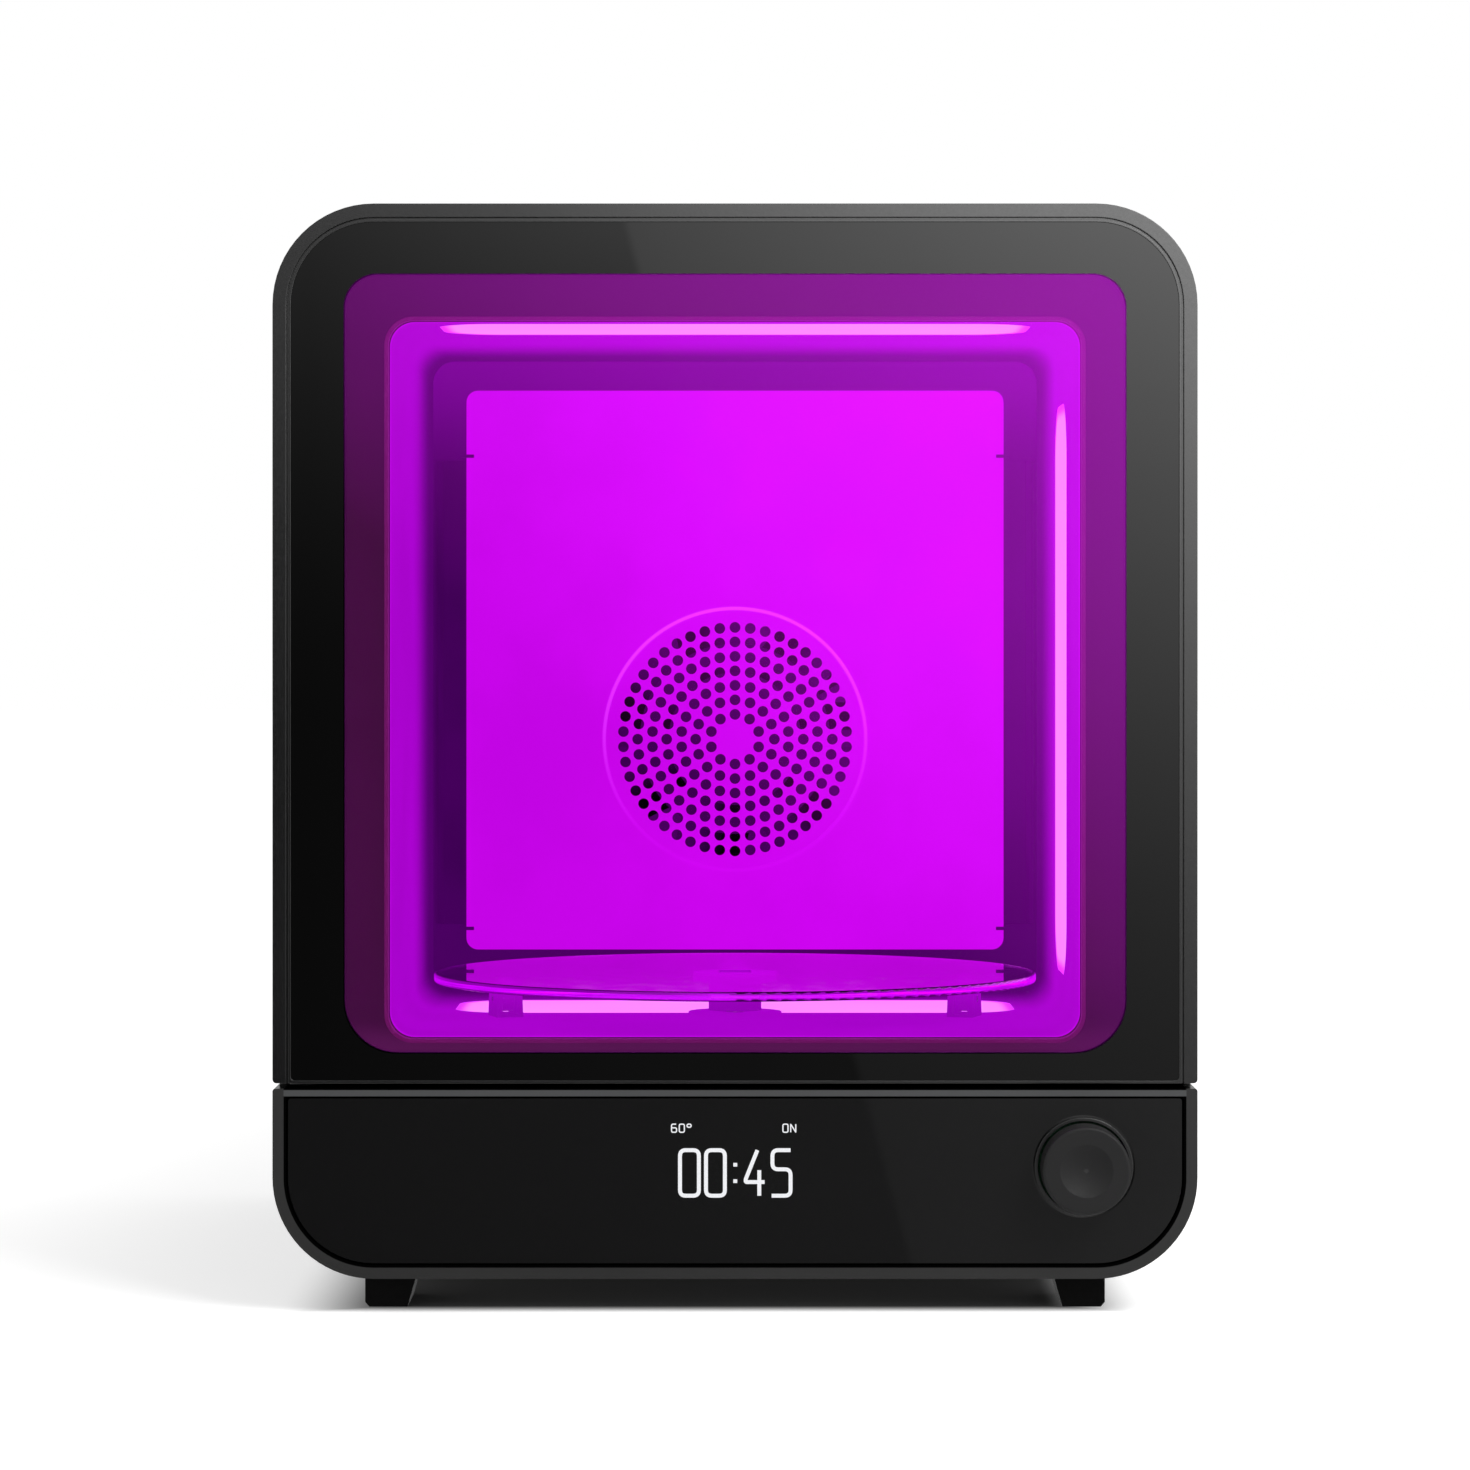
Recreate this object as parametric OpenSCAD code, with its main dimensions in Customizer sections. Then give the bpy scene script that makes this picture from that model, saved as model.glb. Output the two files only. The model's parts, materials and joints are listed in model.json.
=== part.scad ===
// Benchtop light curing unit: a glazed door on a mirrored chamber with a clear turntable,
// light windows in its walls, a warm air fan behind a perforated reflector, and a base
// front with a display and a push and turn knob. X runs to the right, Y into the depth,
// Z up, and the origin is under the middle of the unit, on the plane of the feet.

/* [Overall] */
// Width of the cabinet and the door
unit_w = 274; // [262:1:330]
// Height from the underside of the feet to the top
unit_h = 329; // [325:1:400]
// Depth from the face of the door to the rear edge of the cabinet
body_d = 328; // [322:1:400]
// Radius of the four outer corners seen from the front
corner_r = 30; // [24:1:34]
// Wall of the cabinet shell
shell_t = 2.5; // [1.5:0.5:3.5]

/* [Door] */
// Thickness of the door
door_t = 22; // [20:0.5:27]
// Air gap between the door and the cabinet behind it
seam = 1.5; // [1:0.1:3]
// Air gap between the door and the base front below it
door_gap = 1.6; // [1.5:0.1:3]
// Width of the outer band of the rim, on the door and on the base front
rim_w = 4; // [3:0.5:6]
// Width of the dark groove inside the outer band
rim_groove_w = 0.7; // [0.5:0.1:1.2]
// Depth of the dark groove
rim_groove_d = 1.6; // [0.8:0.1:2.5]
// Width of the inner lip that holds the glass
rim_lip_w = 0.7; // [0.5:0.1:1.2]
// Height of the lip along the bottom edge of the door
rim_foot = 0.8; // [0.6:0.1:1.5]
// Thickness of the glass
glass_t = 4; // [3:0.5:5]
// How far the glass and the control panel lie behind the face of the rim
glass_recess = 0.3; // [0.1:0.1:1]
// Black border of the window at the sides
border_side = 21; // [18:0.5:30]
// Black border of the window at the top
border_top = 20.7; // [18:0.5:30]
// Black border of the window at the bottom
border_bottom = 8.8; // [6:0.2:16]
// Radius of the window's upper corners
window_r_top = 10; // [4:0.5:20]
// Radius of the window's lower corners
window_r_bottom = 15.7; // [4:0.5:20]
// Distance of the hinge axis from the side and from the rear face of the door
hinge_inset = 9; // [8.5:0.5:11]
// Radius of the hinge pins
hinge_pin_r = 2; // [1.5:0.1:2.4]
// Thickness of the upper hinge arm
hinge_arm_t = 3; // [2:0.5:4]
// Distance of the upper hinge arm below the top of the unit
hinge_arm_drop = 40.5; // [36:0.5:70]

/* [Base front] */
// Height of the base front under the door
base_h = 56.3; // [54:0.1:70]
// Height of the pale lip between the groove and the control panel
base_lip_h = 2.3; // [1.6:0.1:4]
// Gap line round the control panel
panel_gap = 0.6; // [0.3:0.1:1]
// Thickness of the control panel
panel_t = 3; // [2:0.5:4]
// Height of the feet
foot_h = 10.5; // [8:0.5:14]
// Length of a foot from front to back
foot_l = 30; // [20:1:40]
// Distance of the feet from the side of the unit
foot_inset = 26.2; // [24:0.2:50]
// Distance of the front feet behind the door's face
foot_setback = 17.5; // [10:0.5:40]

/* [Knob and display] */
// Diameter of the knob
knob_d = 26; // [20:0.5:32]
// How far the knob stands out of the door's face
knob_out = 13; // [9:0.5:18]
// Distance of the knob's axis from the right side of the unit
knob_inset = 33.7; // [30:0.1:60]
// Height of the knob's axis above the bottom of the base front
knob_rise = 33.2; // [28:0.1:36]
// Diameter of the dish in the knob's face
dish_d = 15.6; // [10:0.2:18]
// Depth of the dish
dish_depth = 1.3; // [0.6:0.1:2]
// Travel of the knob when it is pressed
push_travel = 0.8; // [0.4:0.1:1]
// Width of the display behind the panel
display_w = 56; // [40:1:70]
// Height of the display
display_h = 26; // [16:1:32]

/* [Chamber] */
// Inner width of the chamber
chamber_w = 208.4; // [206:0.2:211]
// Inner height of the chamber
chamber_h = 215.9; // [214:0.1:222]
// Inner depth of the chamber behind the bulkhead
chamber_d = 222; // [218:1:228]
// Height of the chamber floor above the plane of the feet
chamber_floor = 79.8; // [78.8:0.1:82]
// Inner corner radius of the chamber
chamber_r = 7.5; // [4:0.5:12]
// Thickness of the chamber's sheet
liner_t = 1.5; // [1:0.1:2]
// Thickness of the front bulkhead
bulkhead_t = 3.5; // [2.5:0.5:5]
// How far the bulkhead lies behind the front edge of the cabinet
bulkhead_setback = 3; // [2:0.5:5]
// Width of the reflector panel
reflector_w = 185.2; // [176:0.2:187]
// Height of the reflector panel
reflector_h = 192.7; // [180:0.1:196]
// Thickness of the reflector panel
reflector_t = 1.5; // [1:0.1:2]
// Margin between the reflector panel and the chamber floor
reflector_rise = 13; // [11:0.5:16]
// Length of the air return slots beside the reflector
slot_len = 160; // [120:1:180]
// Width of the air return slots
slot_w = 10; // [7:0.5:10]
// Height of the slots' lower ends above the chamber floor
slot_rise = 21.7; // [15:0.1:26]

/* [Fan grille] */
// Height of the grille's centre above the chamber floor
grille_rise = 85.5; // [80:0.5:100]
// Number of rings of holes
grille_rings = 7; // [4:1:7]
// Radius of the first ring of holes
grille_r0 = 8.57; // [8:0.01:10]
// Step from one ring of holes to the next
grille_step = 5; // [4.8:0.1:5.2]
// Number of holes in the first ring
grille_n0 = 10; // [8:1:10]
// Holes that each next ring has more
grille_dn = 6; // [5:1:6]
// Diameter of a grille hole
grille_hole_d = 3.7; // [2.5:0.1:4]
// Radius of the raised ring round the grille
grille_bead_r = 45.1; // [44:0.1:47]

/* [Light windows] */
// Length of a light window
lens_l = 182; // [150:1:186]
// Width of a light window
lens_w = 62; // [40:1:68]
// Corner radius of a light window
lens_r = 18; // [6:1:30]
// How far a light window lies behind the face of the chamber's sheet
lens_recess = 0.3; // [0:0.05:1]
// Centre of the ceiling window behind the door's face
ceiling_lens_y = 70.5; // [66:0.5:80]
// Centre of the side window behind the door's face
side_lens_y = 124.5; // [90:0.5:150]
// Centre of the side window above the chamber floor
side_lens_rise = 104.2; // [100:0.1:110]
// Centre of the floor window behind the door's face
floor_lens_y = 160.5; // [158:0.5:166]

/* [Turntable] */
// Radius of the turntable
table_r = 97; // [80:0.5:100]
// Thickness of the turntable
table_t = 3; // [2:0.5:4]
// Height of the turntable's top above the chamber floor
table_rise = 12.9; // [12.5:0.1:16]
// Turntable axis behind the door's face
table_y = 136; // [134:0.5:138]
// Radius of the drive hub
hub_r = 13.5; // [11:0.5:14]
// Radius of a support roller
roller_r = 4; // [3:0.1:4]
// Width of a support roller
roller_w = 4; // [3:0.5:6]
// Distance of the roller circle inside the turntable's edge
roller_inset = 21; // [12:0.5:24]

/* [Fan and heater] */
// Outer size of the square fan frame
fan_size = 92; // [88:1:94]
// Depth of the fan frame
fan_t = 25; // [20:1:28]
// Number of fan blades
fan_blades = 7; // [5:1:9]
// Distance between the chamber's rear wall and the fan
fan_gap = 11.5; // [10.5:0.5:13]

/* [Rear] */
// How far the rear cover lies inside the rear edge of the cabinet
cover_inset = 4.5; // [4:0.5:8]
// Thickness of the rear cover
cover_t = 2.5; // [2:0.5:3.5]
// Number of vent slots in a row
vent_n = 22; // [10:1:26]
// Height of a vent slot
vent_h = 30; // [15:1:36]
// Width of a vent slot
vent_w = 3; // [2:0.5:3.5]
// Distance from one vent slot to the next
vent_pitch = 8; // [7:0.5:9]
// Distance of the mains inlet from the right side of the unit
inlet_inset = 45; // [45:1:60]
// Height of the mains inlet above the bottom of the base front
inlet_rise = 33; // [28:1:40]

/* [Hidden] */
$fn = 64;

// Overshoot of every cutting shape past the face that it cuts
cut = 1;
// Clearance of parts that are seated in each other
seat = 0.1;
// Radial clearance of a running fit
run = 0.05;
// How far the bulkhead reaches below the top of the base front
bulkhead_lap = 6;

// Planes from front to back
front_y = knob_out - (body_d + knob_out) / 2;
back_y = front_y + body_d;
knob_face_y = front_y - knob_out;
glass_y = front_y + glass_recess;
door_back_y = front_y + door_t;
cabinet_y = door_back_y + seam;
bulkhead_y = cabinet_y + bulkhead_setback;
liner_y = bulkhead_y + bulkhead_t;
rear_wall_y = liner_y + chamber_d;
cover_y = back_y - cover_inset - cover_t;

// Levels from bottom to top
base_top = foot_h + base_h;
door_bottom = base_top + door_gap;
chamber_top = chamber_floor + chamber_h;
grille_z = chamber_floor + grille_rise;
panel_top = base_top - base_lip_h - panel_gap;
bulkhead_bottom = base_top - bulkhead_lap;

// Door
frame_inset = rim_w + rim_groove_w + rim_lip_w;
glass_inset = frame_inset + seat;
glass_foot = rim_foot + seat;
inner_y = glass_y + glass_t;
door_edge_r = hinge_inset - 1;
hinge_x = hinge_inset - unit_w / 2;
hinge_y = door_back_y - hinge_inset;
bush_r = hinge_pin_r + 1;
arm_z = unit_h - hinge_arm_drop;
arm_slot_gap = 0.5;
arm_half_w = 4;
pin_reach = 11;
magnet_r = 4;
magnet_t = 3;
magnet_inset = 13;
magnet_x = unit_w / 2 - magnet_inset;
magnet_gap = 0.5;

// Base front
pocket_inset = rim_w;
panel_inset = rim_w + panel_gap;
panel_y = glass_y;
panel_back_y = panel_y + panel_t;
fascia_wall = 9;
chassis_t = 2;
chassis_w = 200;
chassis_top = foot_h + shell_t + chassis_t;

// Knob: bezel ring in the panel, cap on the encoder shaft
knob_x = unit_w / 2 - knob_inset;
knob_z = foot_h + knob_rise;
bezel_room = 0.6;
bezel_wall = 0.95;
bezel_lap = 1.6;
bezel_r_in = knob_d / 2 + bezel_room;
bezel_r_out = bezel_r_in + bezel_wall;
bezel_hole_r = bezel_r_out + bezel_room + seat;
bezel_flange_r = bezel_hole_r + bezel_lap;
bezel_flange_t = 1.5;
bezel_out = 0.5;
knob_gap = 0.3;
cap_back_y = front_y - push_travel - knob_gap;
shaft_r = 3;
shaft_cover = 4;
encoder_w = 14;
encoder_y = panel_back_y + bezel_flange_t;
encoder_base_t = 1;
plunger_r = shaft_r + 1;
plunger_t = 2.4;
plunger_play = 0.2;
plunger_y = encoder_y + 4.5;
board_y = plunger_y + plunger_t + push_travel + seat + plunger_play + encoder_base_t;
board_t = 1.6;
post_r = 2.5;
post_side = 12;
post_knob_side = 24;
post_up = 14;
post_down = 18;
post_edge = 3;
board_left = -display_w / 2 - post_side - post_edge - 1;
board_right = knob_x + encoder_w - 2;

// Chamber
gasket_w = 1.1;
gasket_gap = 0.3;
lens_flange = 2;
lens_flange_t = 1.5;
light_gap = 3.5;
light_board_margin = 9;
light_board_side = 1;
floor_hub = [0, floor_lens_y - table_y];
hub_notch_r = 15;
board_notch_r = 27;
sink_inner_x = 32;
back_t = 2;
back_margin = 7.8;
reflector_gap = 1.5;
reflector_z = chamber_floor + reflector_rise;
reflector_y = rear_wall_y - reflector_gap - reflector_t;
slot_x = (reflector_w / 2 + chamber_w / 2) / 2;
slot_z = chamber_floor + slot_rise;

// Turntable
axis_y = front_y + table_y;
table_top = chamber_floor + table_rise;
table_z = table_top - table_t;
roller_gap = 0.3;
roller_z = table_z - roller_gap - roller_r;
roller_ring_r = table_r - roller_inset;
roller_angles = [196, 344, 90];
axle_r = 1;
cheek_t = 2;
cheek_gap = 0.3;
spigot_w = 10;
spigot_gap = 0.2;
motor_r = 21;
motor_h = 22;
motor_plate_t = 3;
motor_top = chamber_floor - liner_t - 12;
motor_leg_y = 28;

// Electronics on the chassis
leg_w = 48;
supply_size = [68, 105, 38];
supply_low = [4 - chassis_w / 2, axis_y + 50];
board_low = [28, axis_y + 31.5];
board_size = [68, 100];
board_inset = 4;
standoff_h = 6;

// Fan
back_wall_out = rear_wall_y + back_t;
fan_y = back_wall_out + fan_gap;
fan_bore_r = fan_size / 2 - 2.5;
fan_hub_r = 19;
fan_can_r = 17;
aperture_r = 41;
duct_t = 1.5;
duct_clear = 4;
duct_w = 2 * slot_x + slot_w + 2;
duct_z = slot_z - 8;
duct_h = slot_len + 16;
duct_back_y = fan_y + fan_t + duct_clear;

// Rear
cover_edge = shell_t + 0.3;
screw_r = 1.5;
screw_head_r = 2.8;
screw_head_h = 1.8;
boss_w = 10;
boss_l = 12;
boss_mid = shell_t + boss_w / 2;
side_screw_z = [foot_h + 50, unit_h / 2 + 6, unit_h - 50];
row_screw_x = 60;
inlet_x = unit_w / 2 - inlet_inset;
inlet_z = foot_h + inlet_rise;
inlet_w = 27;
inlet_h = 19.6;
inlet_depth = 24;
flange_t = 2;
switch_x = inlet_x - 36;
switch_w = 13.4;
switch_h = 19.2;
rocker_w = 11;
rocker_h = 15;
rocker_tilt = 7;
rocker_pin_r = 1.2;
rocker_y = back_y - cover_inset - 2;

shell_grey = [0.16, 0.16, 0.165];
black = [0.05, 0.05, 0.055];
dark = [0.1, 0.1, 0.11];
steel = [0.62, 0.63, 0.65];
alu = [0.78, 0.79, 0.81];
board_green = [0.05, 0.3, 0.16];
lilac = [0.75, 0.2, 0.85];

// Rounded rectangle round the origin of the plane
module rounded(w, h, r) {
    square([w - 2 * r, h], center = true);
    square([w, h - 2 * r], center = true);
    for (sx = [-1, 1])
        for (sy = [-1, 1])
            translate([sx * (w / 2 - r), sy * (h / 2 - r)])
                circle(r);
}

// Outline of the whole body seen from the front, drawn in by an inset
module body_outline(inset) {
    translate([0, (unit_h + foot_h) / 2])
        rounded(unit_w - 2 * inset, unit_h - foot_h - 2 * inset, corner_r - inset);
}

// Outline of the door with its own inset along the bottom edge
module door_outline(inset, foot) {
    low = door_bottom + foot;
    intersection() {
        body_outline(inset);
        translate([0, low + unit_h / 2])
            rounded(unit_w - 2 * inset, unit_h, 1.2);
    }
}

// Outline of the base front with its own top level
module base_outline(inset, top) {
    intersection() {
        body_outline(inset);
        translate([0, top - unit_h / 2])
            rounded(unit_w - 2 * inset, unit_h, 0.8);
    }
}

// Outline of the clear window, grown by a margin
module window_outline(grow) {
    w = unit_w - 2 * border_side + 2 * grow;
    low = door_bottom + border_bottom - grow;
    high = unit_h - border_top + grow;
    r_low = window_r_bottom + grow;
    r_high = window_r_top + grow;
    translate([-w / 2, low + r_low])
        square([w, high - low - r_low - r_high]);
    translate([r_low - w / 2, low])
        square([w - 2 * r_low, r_low + cut]);
    translate([r_high - w / 2, high - r_high - cut])
        square([w - 2 * r_high, r_high + cut]);
    for (s = [-1, 1]) {
        translate([s * (w / 2 - r_low), low + r_low])
            circle(r_low);
        translate([s * (w / 2 - r_high), high - r_high])
            circle(r_high);
    }
}

// Outline of the chamber seen from the front, grown by a margin
module chamber_outline(grow) {
    translate([0, chamber_floor + chamber_h / 2])
        rounded(chamber_w + 2 * grow, chamber_h + 2 * grow, chamber_r + grow);
}

// Outline drawn from the front, made solid between two depths
module slab(y0, y1) {
    translate([0, y1, 0])
        rotate([90, 0, 0])
            linear_extrude(y1 - y0)
                children();
}

// Block between two corners
module block(low, high) {
    translate(low)
        cube(high - low);
}

// Round bar along Y
module bar_y(x, z, y0, y1, r) {
    translate([x, y1, z])
        rotate([90, 0, 0])
            cylinder(h = y1 - y0, r = r);
}

// Round bar along Z
module bar_z(x, y, z0, z1, r) {
    translate([x, y, z0])
        cylinder(h = z1 - z0, r = r);
}

// Centres of the rear cover's screws
function cover_points() = concat(
    [for (s = [-1, 1]) for (z = side_screw_z) [s * (unit_w / 2 - boss_mid), z]],
    [for (s = [-1, 1]) for (z = [foot_h + boss_mid, unit_h - boss_mid]) [s * row_screw_x, z]]
);

// Wrap-around shell with a ledge for the bulkhead and bosses for the rear cover
module cabinet_shell() {
    color(shell_grey)
        difference() {
            union() {
                slab(cabinet_y, back_y)
                    difference() {
                        body_outline(0);
                        body_outline(shell_t);
                    }
                slab(liner_y, liner_y + shell_t)
                    difference() {
                        body_outline(shell_t - cut / 2);
                        body_outline(shell_t + 7);
                        translate([-unit_w, -unit_h])
                            square([2 * unit_w, unit_h + bulkhead_bottom + 4]);
                    }
                for (p = cover_points())
                    translate([p[0] - boss_w / 2, cover_y - boss_l, p[1] - boss_w / 2])
                        cube([boss_w, boss_l, boss_w]);
            }
            for (p = cover_points())
                bar_y(p[0], p[1], cover_y - boss_l + 2, cover_y + cut, screw_r);
        }
}

// Plate behind the door round the chamber's mouth
module front_bulkhead() {
    color(dark)
        slab(bulkhead_y, liner_y)
            difference() {
                intersection() {
                    body_outline(shell_t + seat);
                    translate([-unit_w, bulkhead_bottom])
                        square([2 * unit_w, unit_h]);
                }
                chamber_outline(0);
            }
}

// Soft bead round the chamber's mouth that the door's rear face meets
module chamber_gasket() {
    color(black)
        slab(door_back_y + gasket_gap, bulkhead_y)
            difference() {
                chamber_outline(seat + gasket_w);
                chamber_outline(seat);
            }
}

// Base front: rim, lip under the groove, pocket for the panel, boss for the lower hinge pin
module base_fascia() {
    color(shell_grey)
        difference() {
            union() {
                difference() {
                    slab(front_y, cabinet_y)
                        base_outline(0, base_top);
                    slab(front_y - cut, panel_back_y)
                        base_outline(pocket_inset, base_top - base_lip_h);
                    slab(panel_back_y - cut / 2, cabinet_y + cut)
                        base_outline(fascia_wall, bulkhead_bottom + 1);
                }
                block([fascia_wall + 4 - unit_w / 2, cabinet_y - cut, bulkhead_bottom + 1],
                      [unit_w / 2 - fascia_wall - 4, bulkhead_y, base_top]);
                for (s = [-1, 1])
                    translate([s * (unit_w / 2 - fascia_wall + 2.6), cabinet_y + 2, base_top - 25])
                        cube([6, 20, 14], center = true);
                bar_z(hinge_x, hinge_y, base_top - pin_reach, base_top - cut, bush_r + 2);
            }
            bar_y(knob_x, knob_z, panel_back_y - cut / 2, encoder_y + bezel_room,
                  bezel_flange_r + bezel_room);
            bar_z(hinge_x, hinge_y, base_top - pin_reach + 1.5, base_top + cut, hinge_pin_r);
        }
}

// Centres of the posts that carry the board behind the panel
function panel_posts() = [
    for (x = [-display_w / 2 - post_side, knob_x - post_knob_side])
        for (z = [knob_z - post_down, knob_z + post_up])
            [x, z]
];

// Glossy control panel with posts behind it
module control_panel() {
    color(black)
        difference() {
            union() {
                slab(panel_y, panel_back_y)
                    base_outline(panel_inset, panel_top);
                for (p = panel_posts())
                    bar_y(p[0], p[1], panel_back_y - cut, board_y, post_r);
            }
            bar_y(knob_x, knob_z, panel_y - cut, panel_back_y + cut, bezel_hole_r);
        }
}

// Display behind the panel with its plug on the board
module display_module() {
    color([0.02, 0.03, 0.05])
        union() {
            block([-display_w / 2, panel_back_y, knob_z - display_h / 2],
                  [display_w / 2, panel_back_y + 3, knob_z + display_h / 2]);
            block([-20, panel_back_y + 2, knob_z - 4], [20, board_y, knob_z + 4]);
        }
}

// Board that carries the display and the encoder
module interface_board() {
    color(board_green)
        slab(board_y, board_y + board_t)
            translate([board_left, knob_z - post_down - post_edge])
                square([board_right - board_left, post_down + post_up + 2 * post_edge]);
}

// Housing of the encoder on the board
module encoder_body() {
    color(steel)
        difference() {
            translate([knob_x, (encoder_y + board_y) / 2, knob_z])
                cube([encoder_w, board_y - encoder_y, encoder_w], center = true);
            bar_y(knob_x, knob_z, encoder_y - cut, plunger_y, shaft_r + run);
            bar_y(knob_x, knob_z, plunger_y - plunger_play, board_y - encoder_base_t,
                  plunger_r + run);
        }
}

// Pad inside the encoder that the pressed shaft moves
module encoder_plunger() {
    color([0.85, 0.82, 0.7])
        bar_y(knob_x, knob_z, plunger_y, plunger_y + plunger_t, plunger_r);
}

// Shaft of the encoder, pressed into the knob
module encoder_shaft() {
    color(steel)
        bar_y(knob_x, knob_z, knob_face_y + shaft_cover, plunger_y, shaft_r);
}

// Profile of the knob from its axis outwards, with the dish as an arc
function dish_sphere_r() = (pow(dish_d / 2, 2) + pow(dish_depth, 2)) / (2 * dish_depth);
module knob_profile() {
    edge = 0.9;
    boss_wall = 2.4;
    skirt = 2.2;
    crown = 4.4;
    len = cap_back_y - knob_face_y;
    difference() {
        union() {
            square([knob_d / 2, len - edge]);
            square([knob_d / 2 - edge, len]);
            translate([knob_d / 2 - edge, len - edge])
                circle(edge);
        }
        translate([0, len - dish_depth + dish_sphere_r()])
            circle(dish_sphere_r(), $fn = 180);
        translate([-knob_d, -cut])
            square([knob_d, 2 * len]);
        translate([0, -cut])
            square([shaft_r, len - shaft_cover + cut]);
        translate([shaft_r + boss_wall, -cut])
            square([knob_d / 2 - skirt - shaft_r - boss_wall, len - crown + cut]);
    }
}

// Knob cap with a dished face, hollow behind round its boss
module knob_cap() {
    color(dark)
        translate([knob_x, cap_back_y, knob_z])
            rotate([90, 0, 0])
                rotate_extrude($fn = 128)
                    knob_profile();
}

// Ring round the knob, with a flange behind the panel
module knob_bezel() {
    color(shell_grey)
        difference() {
            union() {
                bar_y(knob_x, knob_z, front_y - bezel_out, encoder_y, bezel_r_out);
                bar_y(knob_x, knob_z, panel_back_y, encoder_y, bezel_flange_r);
            }
            bar_y(knob_x, knob_z, front_y - bezel_out - cut, encoder_y + cut, bezel_r_in);
        }
}

// Vent slot with round ends
module vent_slot() {
    square([vent_w, vent_h - vent_w], center = true);
    for (s = [-1, 1])
        translate([0, s * (vent_h - vent_w) / 2])
            circle(vent_w / 2, $fn = 24);
}

// Rear cover with two rows of vents and cut-outs for the mains fittings
module rear_cover() {
    color(shell_grey)
        slab(cover_y, cover_y + cover_t)
            difference() {
                body_outline(cover_edge);
                for (i = [0 : vent_n - 1])
                    for (z = [unit_h - 75, unit_h - 120])
                        translate([(i - (vent_n - 1) / 2) * vent_pitch, z])
                            vent_slot();
                for (p = cover_points())
                    translate(p)
                        circle(screw_r + 0.2);
                translate([inlet_x, inlet_z])
                    square([inlet_w + 2 * seat, inlet_h + 2 * seat], center = true);
                translate([switch_x, inlet_z])
                    square([switch_w + 2 * seat, switch_h + 2 * seat], center = true);
            }
}

// Screws of the rear cover
module cover_screws() {
    color(steel)
        for (p = cover_points())
            difference() {
                union() {
                    bar_y(p[0], p[1], cover_y - 7, cover_y + cover_t + cut / 2, screw_r);
                    bar_y(p[0], p[1], cover_y + cover_t, cover_y + cover_t + screw_head_h,
                          screw_head_r);
                }
                translate([p[0], cover_y + cover_t + screw_head_h, p[1]])
                    rotate([90, 0, 0])
                        cylinder(h = 2 * (screw_head_h - 0.6), r = 1.3, $fn = 6, center = true);
            }
}

// Mains inlet with three blades in its socket
module power_inlet() {
    outer_y = cover_y + cover_t;
    color(black)
        union() {
            difference() {
                union() {
                    block([inlet_x - inlet_w / 2, outer_y - inlet_depth, inlet_z - inlet_h / 2],
                          [inlet_x + inlet_w / 2, outer_y + cut, inlet_z + inlet_h / 2]);
                    block([inlet_x - inlet_w / 2 - 2.5, outer_y, inlet_z - inlet_h / 2 - 2.5],
                          [inlet_x + inlet_w / 2 + 2.5, outer_y + flange_t,
                           inlet_z + inlet_h / 2 + 2.5]);
                }
                block([inlet_x - 12, outer_y - 16, inlet_z - 8],
                      [inlet_x + 12, outer_y + flange_t + cut, inlet_z + 8]);
            }
            for (p = [[-7, 1.5], [0, 5.2], [7, 1.5]])
                translate([inlet_x + p[0], outer_y - 9, inlet_z + p[1]])
                    cube([2, 15, 4], center = true);
        }
}

// Housing of the mains switch
module power_switch() {
    outer_y = cover_y + cover_t;
    color(black)
        difference() {
            union() {
                block([switch_x - switch_w / 2, outer_y - 18, inlet_z - switch_h / 2],
                      [switch_x + switch_w / 2, outer_y + cut, inlet_z + switch_h / 2]);
                block([switch_x - switch_w / 2 - 1, outer_y, inlet_z - switch_h / 2 - 1],
                      [switch_x + switch_w / 2 + 1, outer_y + flange_t, inlet_z + switch_h / 2 + 1]);
            }
            block([switch_x - rocker_w / 2 - 0.3, outer_y - 9, inlet_z - rocker_h / 2 - 0.8],
                  [switch_x + rocker_w / 2 + 0.3, outer_y + flange_t + cut,
                   inlet_z + rocker_h / 2 + 0.8]);
            translate([switch_x, rocker_y, inlet_z])
                rotate([0, 90, 0])
                    cylinder(h = switch_w + 4, r = rocker_pin_r + run, center = true);
        }
}

// Rocker with its pivot stubs, resting in the off position
module power_rocker() {
    color(dark)
        translate([switch_x, rocker_y, inlet_z])
            rotate([rocker_tilt, 0, 0])
                union() {
                    translate([rocker_w / 2, 0, 0])
                        rotate([90, 0, -90])
                            linear_extrude(rocker_w)
                                polygon([[-5, -rocker_h / 2], [-4.3, 0],
                                         [-5, rocker_h / 2], [2, rocker_h / 2 - 3],
                                         [2, 3 - rocker_h / 2]]);
                    rotate([0, 90, 0])
                        cylinder(h = rocker_w + 1.8, r = rocker_pin_r, center = true);
                }
}

// Sheet that carries the electronics on the bottom of the shell
module chassis_plate() {
    color(steel)
        block([-chassis_w / 2, liner_y + 12, chassis_top - chassis_t],
              [chassis_w / 2, cover_y - boss_l - 6, chassis_top]);
}

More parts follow.
